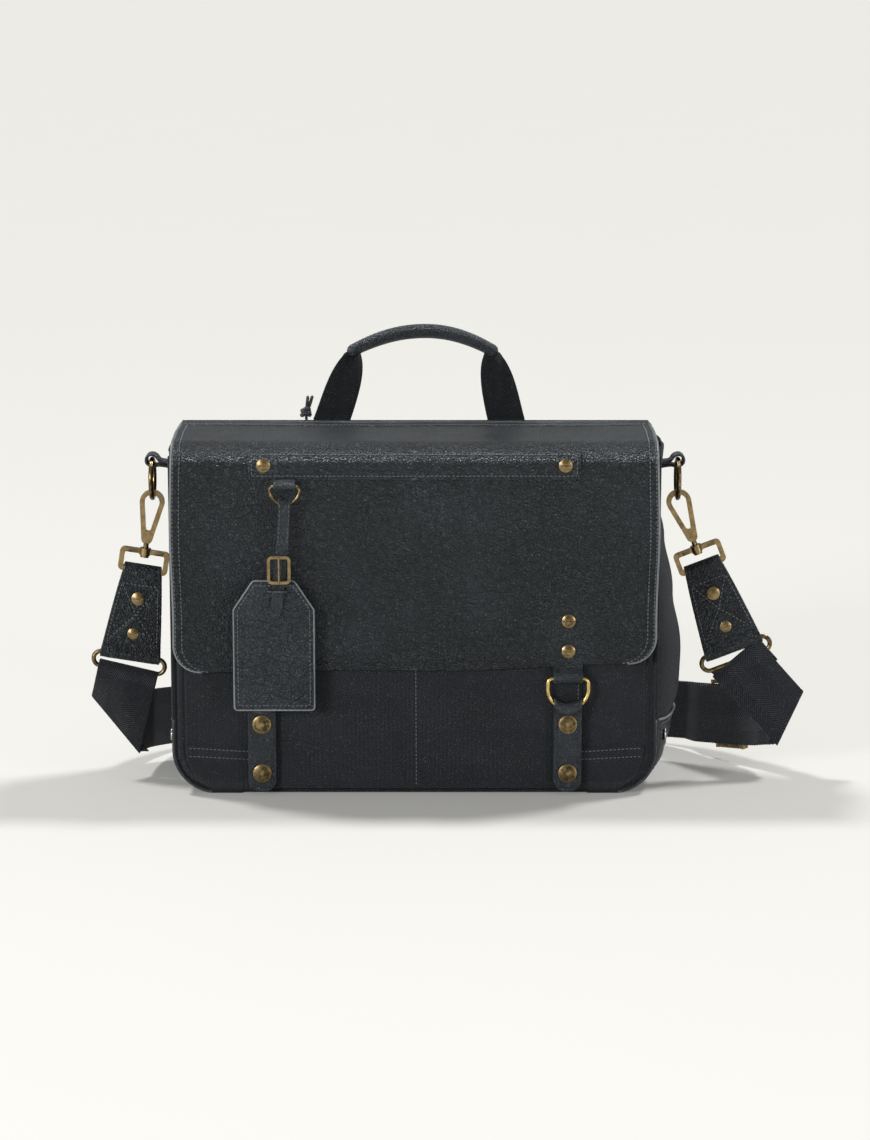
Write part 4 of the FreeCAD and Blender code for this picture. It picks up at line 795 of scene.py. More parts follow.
SIDE_TOP = WHOLE_RUN / 2
SIDE_LOW = BASE_RUN / 2
GUARD = 0.0018              # leather at the lower corners
GUARD_TOP = SIDE_LOW + BEND_RUN + 0.062 - CORNER
GUARD_FACE = PANEL / 2 + GUARD
GUARD_RIVET, GUARD_RIVET_RISE, GUARD_RIVET_SLOT = 0.0054, 0.0021, 0.0013
for side, label in SIDES:
    place = gusset_place(side)
    cut("gusset_canvas_" + label, span_rows(SIDE_LOW - 0.0005, SIDE_TOP, GUSSET_HALF, 0.004), 30, place,
        PANEL, CANVAS, rim=0.0012, **BODY_CANVAS, stands_for=["gusset_" + label])

    def guard_place(u, v, h):
        """The guard laps a little over the gusset's edges."""
        beyond = math.copysign(max(0.0, abs(u) - GUSSET_HALF), u)
        return place(max(-GUSSET_HALF, min(GUSSET_HALF, u)), v, PANEL / 2 + GUARD / 2 + h) + Y * beyond

    guard_rows = span_rows(SIDE_LOW + 0.004, GUARD_TOP, GUSSET_HALF + 0.0022, 0.003)
    cut("corner_guard_" + label + "_leather", guard_rows, 30, guard_place, GUARD, TRIM_LEATHER, **BODY_TRIM,
        stands_for=["corner_guard_" + label])
    tube("guard_edge_" + label, [place(u, GUARD_TOP - 0.0006, PANEL / 2 + 0.0016) for u in
                                 spread(-GUSSET_HALF + 0.001, GUSSET_HALF - 0.001, 40)],
         0.0011, EDGE_LEATHER, 10, flatten=0.9, **BODY_TRIM)
    seam_end = GUSSET_HALF - 0.003
    stitches("guard_thread_" + label,
             [[(-seam_end, v), (seam_end, v)] for v in (GUARD_TOP - 0.0042, GUARD_TOP - 0.026)]
             + [[(u, GUARD_TOP - 0.004), (u, SIDE_LOW + 0.008)] for u in (-seam_end, seam_end)],
             place, GUARD_FACE, PALE_THREAD, **BODY_TRIM)
    heads = []
    for u in (-0.0475, 0.0475):
        spot = place(u, GUARD_TOP - 0.0145, GUARD_FACE)
        heads.append((spot, (place(u, GUARD_TOP - 0.0145, GUARD_FACE + 0.001) - spot).normalized()))
    dome("guard_rivet_heads_" + label, heads, GUARD_RIVET, GUARD_RIVET_RISE, NICKEL, GUARD_RIVET_SLOT,
         body="root", slot="nickel", stands_for=["guard_rivets"])
    # folded seam that joins the gusset to the panels
    for end, face in ((-1, "front"), (1, "back")):
        seam = [place(end * (GUSSET_HALF + 0.0006), v, 0.0022)
                for v in spread(SIDE_LOW - 0.02, SIDE_TOP - 0.002, 150)]
        tube("side_seam_" + label + "_" + face, seam, 0.0017, CANVAS_SEAM, 10, flatten=0.75, up=Y,
             **BODY_CANVAS)

cut("base_canvas", span_rows(-SIDE_LOW - 0.001, SIDE_LOW + 0.001, GUSSET_HALF, 0.008), 20,
    lambda u, v, h: Vector((v, u, PANEL / 2 - h)), PANEL, CANVAS, rim=0.0012, **BODY_CANVAS,
    stands_for=["bottom_panel"])


def edge_gap(x, z):
    """Distance inwards from the outline of the front and back panels."""
    if abs(x) > HALF_WIDTH - CORNER and z < CORNER:
        return CORNER - math.hypot(abs(x) - HALF_WIDTH + CORNER, CORNER - z)
    return min(HALF_WIDTH - abs(x), z)


def corner_inset(z):
    """How far the rounded lower corners stand in from the sides at a height."""
    return CORNER - math.sqrt(max(CORNER ** 2 - (CORNER - z) ** 2, 0.0)) if z < CORNER else 0.0


PANEL_ROWS = rounded_rows(0.0005, TOP, HALF_WIDTH - 0.0006, CORNER, 0.0, 0.005)


def panel_h(x, z):
    """Height of the soft panel over its flat place: rounded off at the seam, slack in the middle."""
    soft = -0.0052 * (1 - ease(edge_gap(x, z) / 0.012)) ** 1.5
    top_soft = ease((TOP - z) / 0.05)
    return soft + wave(x * 0.6, 0.4, z * 1.8, 0.06, 0.0011) * ease(edge_gap(x, z) / 0.02) * top_soft


def front_place(u, v, h):
    lean = TOP_LEAN * ease((v - TOP + 0.03) / 0.03)
    return Vector((u, -HALF_DEPTH + PANEL / 2 - h - panel_h(u, v) + lean, v))


def back_place(u, v, h):
    bend = wave(u, 3.1, v, 0.11, 0.0009)
    return Vector((u, HALF_DEPTH - PANEL / 2 + h + panel_h(u, v) + min(bend, 0.0), v))


cut("front_canvas", PANEL_ROWS, 90, front_place, PANEL, CANVAS, rim=0.0012, **BODY_CANVAS,
    stands_for=["front_panel"])
cut("back_canvas", PANEL_ROWS, 90, back_place, PANEL, CANVAS, rim=0.0012, **BODY_CANVAS,
    stands_for=["back_panel"])


def inside_line(inset):
    """Line round the lower outline at an inset, from the left side to the right side."""
    spots = [outline(s, inset)[0] for s in spread(0.0, WHOLE_RUN, 220)]
    return [(spot.x, spot.z) for spot in spots if spot.z <= SEAM_TOP]


SEAM_TOP = 0.278
for label, face_place in (("front", front_place), ("back", back_place)):
    ridge = [face_place(x, z, PANEL / 2 + 0.0001) for x, z in inside_line(0.0085)]
    tube("panel_seam_" + label, ridge, 0.0012, CANVAS_SEAM, 10, flatten=0.55, up=Y, **BODY_CANVAS)
    stitches("panel_thread_" + label, [inside_line(0.0112)], face_place, PANEL / 2 + 0.0001, DARK_THREAD,
             **BODY_CANVAS)
    hem = [face_place(x, TOP - 0.0005, 0.0) for x in spread(-0.99 * HALF_WIDTH, 0.99 * HALF_WIDTH, 120)]
    tube("top_binding_" + label, hem, 0.0026, CANVAS_SEAM, 12, flatten=0.9, up=Z, **BODY_CANVAS)

# slip pocket between the closures, and the double-stitched bands beside it
POCKET_LOW = low_of("front_pocket")
POCKET_HIGH = high_of("front_pocket")
POCKET_THICK = 0.0014
POCKET_Y = mid_of("front_pocket").y
pocket_rows = rounded_rows(POCKET_LOW.z, POCKET_HIGH.z, POCKET_HIGH.x, 0.004, 0.0, 0.004)


def pocket_place(u, v, h):
    slack = wave(u * 0.6, 0.0, v * 1.8, 0.05, 0.0016) + 0.0005 * bell(u, 0.004)
    return Vector((u, POCKET_Y - h - slack * ease((0.118 - abs(u)) / 0.02) * ease((v - 0.004) / 0.02), v))


cut("slip_pocket_canvas", pocket_rows, 110, pocket_place, POCKET_THICK, CANVAS, **BODY_CANVAS,
    stands_for=["front_pocket"])
pocket_seam = POCKET_HIGH.x - 0.003
stitches("pocket_thread", [[(0.0012, POCKET_LOW.z + 0.003), (0.0004, POCKET_HIGH.z - 0.004)]]
         + [[(u, POCKET_LOW.z + 0.003), (u, POCKET_HIGH.z)] for u in (-pocket_seam, pocket_seam)],
         pocket_place, POCKET_THICK / 2, PALE_THREAD, radius=FINE_STITCH, **BODY_CANVAS)
BAND_TOP = 0.0385
BAND_INNER, BAND_OUTER = POCKET_HIGH.x - 0.004, HALF_WIDTH - 0.0105
for side, label in SIDES:
    rows = []
    for v in spread(0.0022, BAND_TOP, 23):
        reach = max(BAND_OUTER - corner_inset(v), BAND_INNER + 0.004)
        rows.append((v, BAND_INNER, reach) if side > 0 else (v, -reach, -BAND_INNER))

    def band_place(u, v, h):
        tilt = 0.0028 * ease((abs(u) - 0.13) / 0.06) * ease(v / BAND_TOP)
        return front_place(u, v + tilt, h + PANEL / 2 + 0.0006)

    cut("base_band_" + label, rows, 24, band_place, 0.0013, CANVAS, **BODY_CANVAS)
    stitches("band_thread_" + label,
             [[(side * BAND_INNER, v), (side * (BAND_OUTER - 0.002), v)]
              for v in (BAND_TOP - 0.003, BAND_TOP - 0.0095)],
             band_place, 0.00065, PALE_THREAD, radius=FINE_STITCH, **BODY_CANVAS)


# ------------------------------------------------------------------ flap
FLAP_LOW, FLAP_HIGH = low_of("flap_front"), high_of("flap_front")
TOP_LOW, TOP_HIGH = low_of("flap_top"), high_of("flap_top")
FLAP = TOP_HIGH.z - TOP_LOW.z
FLAP_Z = (TOP_LOW.z + TOP_HIGH.z) / 2   # middle layer of the flap's top
FLAP_Y = (FLAP_LOW.y + FLAP_HIGH.y) / 2 # middle layer of the flap's front
FOLD_RADIUS = 0.020
bend_points = [(FLAP_Y + FOLD_RADIUS * (1 - math.sin(a)), FLAP_Z - FOLD_RADIUS * (1 - math.cos(a)))
               for a in spread(0.0, math.pi / 2, 8)]
flap_run = Run([(TOP_HIGH.y, FLAP_Z), (TOP_HIGH.y - 0.02, FLAP_Z), (0.01, FLAP_Z), (-0.03, FLAP_Z)]
               + bend_points + [(FLAP_Y, 0.255), (FLAP_Y, 0.2), (FLAP_Y, 0.15), (FLAP_Y, FLAP_LOW.z)])
FLAP_HALF = FLAP_HIGH.x
FLAP_CORNER = 0.022
FOLD_S = TOP_HIGH.y - FLAP_Y
RIVET_X, RIVET_LEVELS = 0.1245, (0.121, 0.146)      # the flap lies flat round the closures' rivets


def flap_place(u, s, h):
    """s runs along the flap from its back edge, over the fold and down the front."""
    point = flap_run.put(u, s, h)
    down = s / flap_run.length
    front = ease((s - FOLD_S - 0.03) / 0.06)
    sag = wave(u, 0.0, s, 0.09, 0.0011) + wave(u, 5.0, s, 0.035, 0.00035)
    rivet_gap = min(math.hypot(abs(u) - RIVET_X, point.z - z) for z in RIVET_LEVELS)
    loose = wave(u, 9.0, s, 0.15, 0.0042) * ease((rivet_gap - 0.008) / 0.03)
    point.y -= front * (sag * 0.45 + loose + 0.0006 * math.sin(u * 31) * ease((down - 0.75) * 4))
    flat = 1 - ease((s - FOLD_S + 0.03) / 0.03)
    near = ease((s - 0.004) / 0.03)
    point.z += flat * near * (sag * 0.8 - 0.0012 * (1 - (u / FLAP_HALF) ** 2) - 0.0006)
    lift = 0.0062 * ease((u - 0.03) / 0.16) - 0.0012 * ease((-u - 0.05) / 0.12)
    point.z += lift * ease((s - 0.16) / 0.1)
    point.x += 0.0008 * math.sin(s * 42) * (u / FLAP_HALF) * ease(s / 0.08)
    return point


flap_rows = rounded_rows(0.0, flap_run.length, FLAP_HALF, 0.003, FLAP_CORNER, 0.0036)


def flap_swell(u, s):
    """Turned and stitched edge: a raised rim, with a shallow channel under the stitching."""
    gap = min(FLAP_HALF - abs(u), flap_run.length - s)
    if abs(u) > FLAP_HALF - FLAP_CORNER and s > flap_run.length - FLAP_CORNER:
        gap = FLAP_CORNER - math.hypot(abs(u) - FLAP_HALF + FLAP_CORNER, s - flap_run.length + FLAP_CORNER)
    rim = 0.00035 * ease((0.0075 - gap) / 0.003)
    return rim - 0.00035 * bell(gap - 0.0068, 0.0011) - 0.0002 * bell(gap - 0.0016, 0.0008)


flap = cut("flap_leather", flap_rows, 150, flap_place, FLAP, FLAP_LEATHER, puff=flap_swell, rim=0.0011,
           slot="flap_leather", stands_for=["flap_top", "flap_front"])


def flap_border(inset):
    return [(u, s) for u, s in border(flap_rows, inset, top=False) if s > 0.004]


flap_thread = stitches("flap_thread", [flap_border(0.0017)], flap_place, FLAP / 2 + 0.0002, PALE_THREAD,
                       slot="flap_leather")
flap_thread_inner = stitches("flap_thread_inner", [flap_border(0.0068)], flap_place, FLAP / 2, PALE_THREAD,
                             slot="flap_leather")
edge_line = [flap_place(u, s, 0.0002) for u, s in flap_border(0.0004)]
flap_edge = tube("flap_cut_edge", edge_line, 0.00135, EDGE_LEATHER, 8, slot="flap_leather")
for part in (flap, flap_thread, flap_thread_inner, flap_edge):
    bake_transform(part)

# band that hinges the flap: sewn to the back panel, over the ridge and on to the flap
HINGE_BAND = 0.001
hinge_run = Run([(HALF_DEPTH + 0.0006, 0.2715), (HALF_DEPTH + 0.0007, 0.280), (HALF_DEPTH + 0.0004, 0.2875),
                 (HALF_DEPTH - 0.0035, 0.2921), (HALF_DEPTH - 0.012, TOP_HIGH.z + 0.0003),
                 (HALF_DEPTH - 0.024, TOP_HIGH.z - 0.0001)])


def hinge_place(u, s, h):
    point = hinge_run.put(u, s, h)
    point.z += flap_place(u, 0.02, 0.0).z - FLAP_Z if s > hinge_run.length * 0.6 else 0.0
    return point


hinge_rows = rounded_rows(0.0, hinge_run.length, FLAP_HALF - 0.001, 0.0, 0.0, 0.0012)
hinge = cut("hinge_band", hinge_rows, 120, hinge_place, HINGE_BAND, STRIP_LEATHER, slot="flap_leather")
hinge_thread = stitches("hinge_thread", [[(-FLAP_HALF + 0.004, s), (FLAP_HALF - 0.004, s)]
                                         for s in (0.0022, hinge_run.length - 0.0022)],
                        hinge_place, HINGE_BAND / 2, PALE_THREAD, slot="flap_leather")
for part in (hinge, hinge_thread):
    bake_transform(part)


def flat_piece(name, node, rows, material, columns=30, inset=0.0026, thread=PALE_THREAD, swell=0.0003,
               shape=None, **where):
    """Flat leather part in the place of a CAD plate, with its thread: a stitched border at inset."""
    middle = mid_of(node).y
    thick = high_of(node).y - low_of(node).y

    def place(u, v, h):
        extra = shape(u, v) if shape else 0.0
        return Vector((u, middle - h - extra, v))

    def puff(u, v):
        left, right = rows_span(rows, v)
        gap = min(u - left, right - u, v - rows[0][0], rows[-1][0] - v)
        return swell * (ease(gap / 0.004) - 0.6 * bell(gap - inset, 0.0009))

    made = cut(name, rows, columns, place, thick, material, puff=puff, stands_for=[node], **where)
    return made, stitches(name + "_thread", [border(rows, inset)], place, thick / 2 + 0.0001, thread,
                          radius=FINE_STITCH, **where)


# strip across the flap
low, high = low_of("flap_strip"), high_of("flap_strip")
strip_rows = rounded_rows(low.z, high.z, high.x, 0.0022, 0.0022, 0.0015)


def strip_shape(u, v):
    """The strip follows the fold of the flap at its upper edge."""
    over = max(0.0, v - (FLAP_Z - FOLD_RADIUS))
    return wave(u, 2.0, v, 0.05, 0.0003) - 0.9 * (FOLD_RADIUS - math.sqrt(FOLD_RADIUS ** 2 - over ** 2))


for part in flat_piece("strip_leather", "flap_strip", strip_rows, STRIP_LEATHER, 110, shape=strip_shape,
                       slot="flap_leather"):
    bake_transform(part)

# ------------------------------------------------------------------ closures
CLOSURE_WIRE = 0.00165
BAR_Z = high_of("closure_ring_right").z - CLOSURE_WIRE
TAB_X = mid_of("closure_ring_right").x
RING_Y = mid_of("closure_ring_right").y
RING_FOOT = low_of("closure_ring_right").z + CLOSURE_WIRE
RING_BOW = 0.0165           # radius of the ring's round foot
LOOP_WRAP, TAB_WRAP = 0.00285, 0.0034       # from the wire's middle to the middle of the leather round it
LOOP_THICK, TAB_THICK = 0.0017, 0.0024
SNAP_LEVELS = (0.060, 0.019)
STUD_RADIUS, STUD_RISE = 0.0042, 0.0007
for side, label in SIDES:
    centre_x = side * TAB_X
    # loop that holds the ring: down from under the flap, round the bar and up again
    loop_node = "closure_loop_" + label
    half = high_of(loop_node).x - centre_x
    behind = high_of(loop_node).y
    loop_run = Run([(behind - 0.001, 0.150), (behind - 0.001, 0.125), (behind - 0.0012, 0.108),
                    (RING_Y + LOOP_WRAP, BAR_Z + 0.0005), (RING_Y, BAR_Z - LOOP_WRAP),
                    (RING_Y - LOOP_WRAP, BAR_Z), (RING_Y - LOOP_WRAP * 0.75, BAR_Z + 0.004),
                    (FLAP_Y + FLAP / 2 + 0.0012, 0.107), (FLAP_Y + FLAP / 2 + 0.0014, 0.112)])

    def loop_place(u, s, h):
        return loop_run.put(u, s, -h)

    cut("closure_loop_leather_" + label, shifted(span_rows(0.0, loop_run.length, half, 0.0009), centre_x), 16,
        loop_place, LOOP_THICK, TRIM_LEATHER, **FLAP_TRIM, stands_for=[loop_node])
    stitches("closure_loop_thread_" + label,
             [[(u, loop_run.length * 0.56), (u, loop_run.length - 0.001)]
              for u in (centre_x - half + 0.002, centre_x + half - 0.002)],
             loop_place, LOOP_THICK / 2, DARK_THREAD, radius=FINE_STITCH, **FLAP_TRIM)

    # tab: up the front, over the ring and a little way down behind it
    tab_node = "closure_tab_" + label
    half = (high_of(tab_node).x - low_of(tab_node).x) / 2
    front_y = high_of("snaps_" + label).y + 0.0015
    tab_run = Run([(RING_Y + 0.0022, RING_FOOT - 0.014), (RING_Y + TAB_WRAP, RING_FOOT - 0.006),
                   (RING_Y + TAB_WRAP, RING_FOOT), (RING_Y + TAB_WRAP * 0.7, RING_FOOT + TAB_WRAP * 0.72),
                   (RING_Y, RING_FOOT + TAB_WRAP), (RING_Y - TAB_WRAP * 0.7, RING_FOOT + TAB_WRAP * 0.72),
                   (RING_Y - TAB_WRAP, RING_FOOT), (RING_Y - TAB_WRAP * 0.86, RING_FOOT - 0.0022),
                   (front_y - 0.0006, RING_FOOT - 0.0054), (front_y, RING_FOOT - 0.009), (front_y, 0.05),
                   (front_y, 0.03), (front_y, low_of(tab_node).z)])
    tab_rows = shifted(rounded_rows(0.0, tab_run.length, half, 0.002, half - 0.0012, 0.0016), centre_x)

    def tab_place(u, s, h):
        """The fold follows the ring's round foot, and the rest hangs in a slight wave."""
        off = min(abs(u - centre_x), RING_BOW - 0.002)
        rise = RING_BOW - math.sqrt(RING_BOW ** 2 - off ** 2)
        point = tab_run.put(u, s, h)
        point.z += rise * ease((point.z - RING_FOOT + 0.012) / 0.010)
        free = ease((0.066 - point.z) / 0.02) * ease((point.z - 0.03) / 0.02)
        point.y -= 0.0004 * math.sin(point.z * 260) * free
        return point

    def tab_puff(u, s):
        gap = min(half - abs(u - centre_x), tab_run.length - s)
        return 0.00035 * ease(gap / 0.003) - 0.0004 * bell(gap - 0.0028, 0.0008)

    leather = cut("closure_tab_leather_" + label, tab_rows, 24, tab_place, TAB_THICK, TRIM_LEATHER,
                  puff=tab_puff, slot="trim_leather", stands_for=[tab_node])
    line = [(u, s) for u, s in border(tab_rows, 0.0028, top=False) if s > 0.014]
    thread = stitches("closure_tab_thread_" + label, [line], tab_place, TAB_THICK / 2, DARK_THREAD,
                      slot="trim_leather")
    for part in (leather, thread):
        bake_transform(part)
    base_low, base_high = low_of("snap_base_" + label), high_of("snap_base_" + label)
    base_rows = rounded_rows(base_low.z, base_high.z, (base_high.x - base_low.x) / 2, 0.009, 0.002, 0.003,
                             centre=centre_x)
    flat_piece("snap_base_leather_" + label, "snap_base_" + label, base_rows, TRIM_LEATHER, 16, 0.002,
               DARK_THREAD, swell=0.0, **BODY_TRIM)
    dome("snap_stud_heads_" + label, [(Vector((centre_x, base_low.y + 0.0001, z)), -Y) for z in SNAP_LEVELS],
         STUD_RADIUS, STUD_RISE, BRASS, body="root", slot="brass", stands_for=["snap_studs"])

# ------------------------------------------------------------------ luggage tag
PLATE_LOW, PLATE_HIGH = low_of("tag_plate"), high_of("tag_plate")
PLATE_X, PLATE_Y = mid_of("tag_plate").x, mid_of("tag_plate").y
PLATE_HALF = (PLATE_HIGH.x - PLATE_LOW.x) / 2
CHAMFER = 0.016
CHAMFER_SLOPE = 1.5


def plate_half_at(v):
    over = v - (PLATE_HIGH.z - CHAMFER_SLOPE * CHAMFER)
    return PLATE_HALF - max(0.0, over) / CHAMFER_SLOPE


plate_rows = rounded_rows(PLATE_LOW.z, PLATE_HIGH.z, plate_half_at, 0.003, 0.0025, 0.002, centre=PLATE_X)
flat_piece("tag_plate_leather", "tag_plate", plate_rows, TAG_LEATHER, 40, 0.0034,
           shape=lambda u, v: wave(u, 7.0, v, 0.04, 0.0006) * ease((v - 0.07) / 0.02), **TAG_TRIM)
tube("tag_plate_edge", [Vector((u, PLATE_Y - 0.0003, v)) for u, v in border(plate_rows, 0.0002)][:-1], 0.0009,
     EDGE_LEATHER, 8, closed=True, up=Y, **TAG_TRIM)

TAG_WIRE = 0.0011
TAG_X = mid_of("tag_ring").x
TAG_BAR_Y = mid_of("tag_ring").y
TAG_BAR_Z = high_of("tag_ring").z - TAG_WIRE
TAG_FOOT = low_of("tag_ring").z + TAG_WIRE
TAG_BOW = 0.0115            # radius of the ring's round foot
TAG_FRONT = TAG_BAR_Y - 0.001
TAG_WRAP = 0.0031
STRAP_FOOT = low_of("tag_strap").z
STRAP_THICK = 0.0019
SLANT = 0.008               # the strap runs down to the left
STRAP_HALF = 0.005
tag_run = Run([(TAG_BAR_Y + 0.0006, TAG_FOOT - 0.02), (TAG_BAR_Y + 0.0026, TAG_FOOT - 0.006),
               (TAG_BAR_Y + TAG_WRAP, TAG_FOOT), (TAG_BAR_Y, TAG_FOOT + TAG_WRAP),
               (TAG_BAR_Y - TAG_WRAP, TAG_FOOT), (TAG_BAR_Y - 0.0024, TAG_FOOT - 0.007),
               (TAG_FRONT, TAG_FOOT - 0.018), (TAG_FRONT, 0.2), (TAG_FRONT - 0.0004, 0.18), (TAG_FRONT, 0.16),
               (TAG_FRONT, STRAP_FOOT)])


def slanted(z):
    """How far left the strap has run at a height."""
    return SLANT * max(0.0, (TAG_FOOT - z) / (TAG_FOOT - STRAP_FOOT)) ** 1.4


def tag_strap_place(u, s, h):
    point = tag_run.put(u, s, h)
    off = min(abs(u - TAG_X), 0.006)
    rise = TAG_BOW - math.sqrt(TAG_BOW ** 2 - off ** 2)
    point.z += rise * ease((point.z - TAG_FOOT + 0.010) / 0.008)
    point.x -= slanted(point.z)
    return point


tag_rows = shifted(rounded_rows(0.0, tag_run.length, STRAP_HALF, 0.001, STRAP_HALF - 0.0005, 0.0012), TAG_X)
cut("tag_strap_leather", tag_rows, 12, tag_strap_place, STRAP_THICK, TRIM_LEATHER, **TAG_TRIM,
    stands_for=["tag_strap"])
stitches("tag_strap_thread", [[(u, 0.030), (u, 0.062)] for u in
                              (TAG_X - STRAP_HALF + 0.0014, TAG_X + STRAP_HALF - 0.0014)],
         tag_strap_place, STRAP_THICK / 2, PALE_THREAD, radius=0.00025, **TAG_TRIM)
KEEPER_Z = low_of("tag_buckle").z - 0.006
keeper = [Vector((TAG_X - slanted(KEEPER_Z) + a * 0.0062, TAG_FRONT + b * 0.0022, KEEPER_Z)) for a, b in
          ((-1, -1), (-0.5, -1.25), (0.5, -1.25), (1, -1), (1.08, 0), (1, 0.9), (0, 1.0), (-1, 0.9),
           (-1.08, 0))]
tube("tag_keeper", smooth_line(keeper, 0.0008, closed=True), 0.0008, TRIM_LEATHER, 10, closed=True,
     flatten=2.2, up=Y, **TAG_TRIM)

# loop under the strip that holds the tag's ring
TAG_LOOP_WRAP = 0.0023
loop_half = (high_of("tag_loop").x - low_of("tag_loop").x) / 2
tag_loop_run = Run([(FLAP_Y - FLAP / 2 - 0.0006, TAG_BAR_Z + 0.012),
                    (FLAP_Y - FLAP / 2 - 0.0012, TAG_BAR_Z + 0.004),
                    (TAG_BAR_Y + TAG_LOOP_WRAP, TAG_BAR_Z - 0.0006), (TAG_BAR_Y, TAG_BAR_Z - TAG_LOOP_WRAP),
                    (TAG_BAR_Y - TAG_LOOP_WRAP, TAG_BAR_Z), (TAG_BAR_Y - 0.001, TAG_BAR_Z + TAG_LOOP_WRAP),
                    (FLAP_Y - FLAP / 2 - 0.0026, TAG_BAR_Z + 0.0052),
                    (FLAP_Y - FLAP / 2 - 0.0018, TAG_BAR_Z + 0.009)])
cut("tag_loop_leather", shifted(span_rows(0.0, tag_loop_run.length, loop_half, 0.0007), TAG_X), 14,
    lambda u, s, h: tag_loop_run.put(u, s, -h), 0.0015, TRIM_LEATHER, **FLAP_TRIM, stands_for=["tag_loop"])

# ------------------------------------------------------------------ handle
HANDLE_X = mid_of("handle_grip").x
HANDLE_Y = mid_of("handle_grip").y
GRIP_HALF = (high_of("handle_core").x - low_of("handle_core").x) / 2 - 0.002
WEB_FOOT = low_of("handle_webbing_right").z
GRIP_END = high_of("handle_webbing_right").z
PEAK = high_of("handle_grip").z - 0.0048
HANDLE_SHIFT = 0.003        # the grip leans a little to the right
WEB_SIDE = 0.016            # from the webbing's outer edge to its middle, at the foot
ANCHOR_LOW = low_of("handle_anchors").z
ANCHOR_THICK = 0.0022
ANCHOR_Y = HALF_DEPTH + ANCHOR_THICK
for side, label in SIDES:
    box_low, box_high = low_of("handle_webbing_" + label), high_of("handle_webbing_" + label)
    outer = max(abs(box_low.x - HANDLE_X), abs(box_high.x - HANDLE_X))
    web_top = GRIP_HALF - 0.0015 + side * HANDLE_SHIFT

    def web_row(t):
        """Centre and half width of the webbing a share t of the way up."""
        half = 0.0157 - 0.0012 * t - 0.0085 * t ** 4
        return side * (outer - WEB_SIDE + (web_top - outer + WEB_SIDE) * t ** 0.92), half

    web_rows = []
    for k in range(-3, 40):
        t = k / 39
        middle, half = web_row(max(t, 0.0))
        web_rows.append((WEB_FOOT + (GRIP_END - WEB_FOOT + 0.0035) * t, HANDLE_X + middle - half,
                         HANDLE_X + middle + half))

    def web_place(u, v, h):
        """The webbing curls lengthwise as it narrows towards the grip."""
        t = min(max((v - WEB_FOOT) / (GRIP_END - WEB_FOOT), 0.0), 1.0)
        middle, half = web_row(t)
        share = (u - HANDLE_X - middle) / half
        return Vector((u, HANDLE_Y - 0.0052 * t ** 1.5 * (share ** 2 - 0.35) + h, v))

    web = cut("handle_web_" + label, web_rows, 22, web_place, 0.0026, HANDLE_WEB, slot="webbing",
              stands_for=["handle_webbing_" + label])
    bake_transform(web)
    anchor_rows = shifted(span_rows(ANCHOR_LOW - 0.004, WEB_FOOT - 0.0022, 0.0158, 0.002),
                          HANDLE_X + side * (outer - WEB_SIDE))

    def anchor_place(u, v, h):
        t = ease((v - ANCHOR_LOW) / (WEB_FOOT - ANCHOR_LOW))
        return Vector((u, ANCHOR_Y + (HANDLE_Y - ANCHOR_Y) * t + h, v))

    cut("handle_anchor_" + label, anchor_rows, 16, anchor_place, ANCHOR_THICK, HANDLE_WEB, **BODY_WEB,
        stands_for=["handle_anchors"])
    # box and cross of stitching: two level rows and both diagonals
    left, right = anchor_rows[0][1] + 0.003, anchor_rows[0][2] - 0.003
    foot, head = ANCHOR_LOW - 0.002, ANCHOR_LOW + 0.010
    stitches("handle_anchor_thread_" + label,
             [[(left, a), (right, b)] for a, b in ((foot, foot), (head, head), (foot, head), (head, foot))],
             anchor_place, ANCHOR_THICK / 2, DARK_THREAD, **BODY_WEB)

GRIP_STEP = 0.0015
GRIP_FLAT = 0.82
grip_rise = PEAK - (GRIP_END + 0.0046)
grip_line = smooth_line(
    [(HANDLE_X + HANDLE_SHIFT + share * (GRIP_HALF - 0.001), HANDLE_Y,
      PEAK - grip_rise * abs(share) ** 2.1 + 0.0006 * math.sin(share * 3 + 1))
     for share in spread(-1, 1, 24)], GRIP_STEP)


def grip_radius(t):
    """The grip is fuller in the middle and flares where the webbing enters it."""
    return 0.0046 + 0.0014 * math.sin(math.pi * t) ** 0.5 + 0.0006 * abs(2 * t - 1) ** 20


grip = tube("grip_leather", grip_line, grip_radius, TRIM_LEATHER, 28, flatten=GRIP_FLAT, up=Y, **GRIP_TRIM,
            stands_for=["handle_grip", "handle_core"])


def grip_place(u, v, h):
    """v runs along the grip in metres, u round it in radians from the front."""
    where = min(max(v / GRIP_STEP, 0), len(grip_line) - 1.001)
    k = int(where)
    spot = grip_line[k].lerp(grip_line[k + 1], where - k)
    side = (grip_line[k + 1] - grip_line[k]).normalized().cross(Y).normalized()
    r = grip_radius(where / (len(grip_line) - 1)) + h
    return spot + side * (math.sin(u) * r) - Y * (math.cos(u) * r * GRIP_FLAT)


grip_run = GRIP_STEP * (len(grip_line) - 1)
stitches("grip_thread", [[(u, 0.004), (u, grip_run - 0.004)] for u in (1.15, math.pi - 1.15)]
         + [[(u, end) for u in (-0.9, -0.3, 0.3, 0.9)] for end in (0.010, grip_run - 0.010)],
         grip_place, 0.0, PALE_THREAD, radius=FINE_STITCH, **GRIP_TRIM)

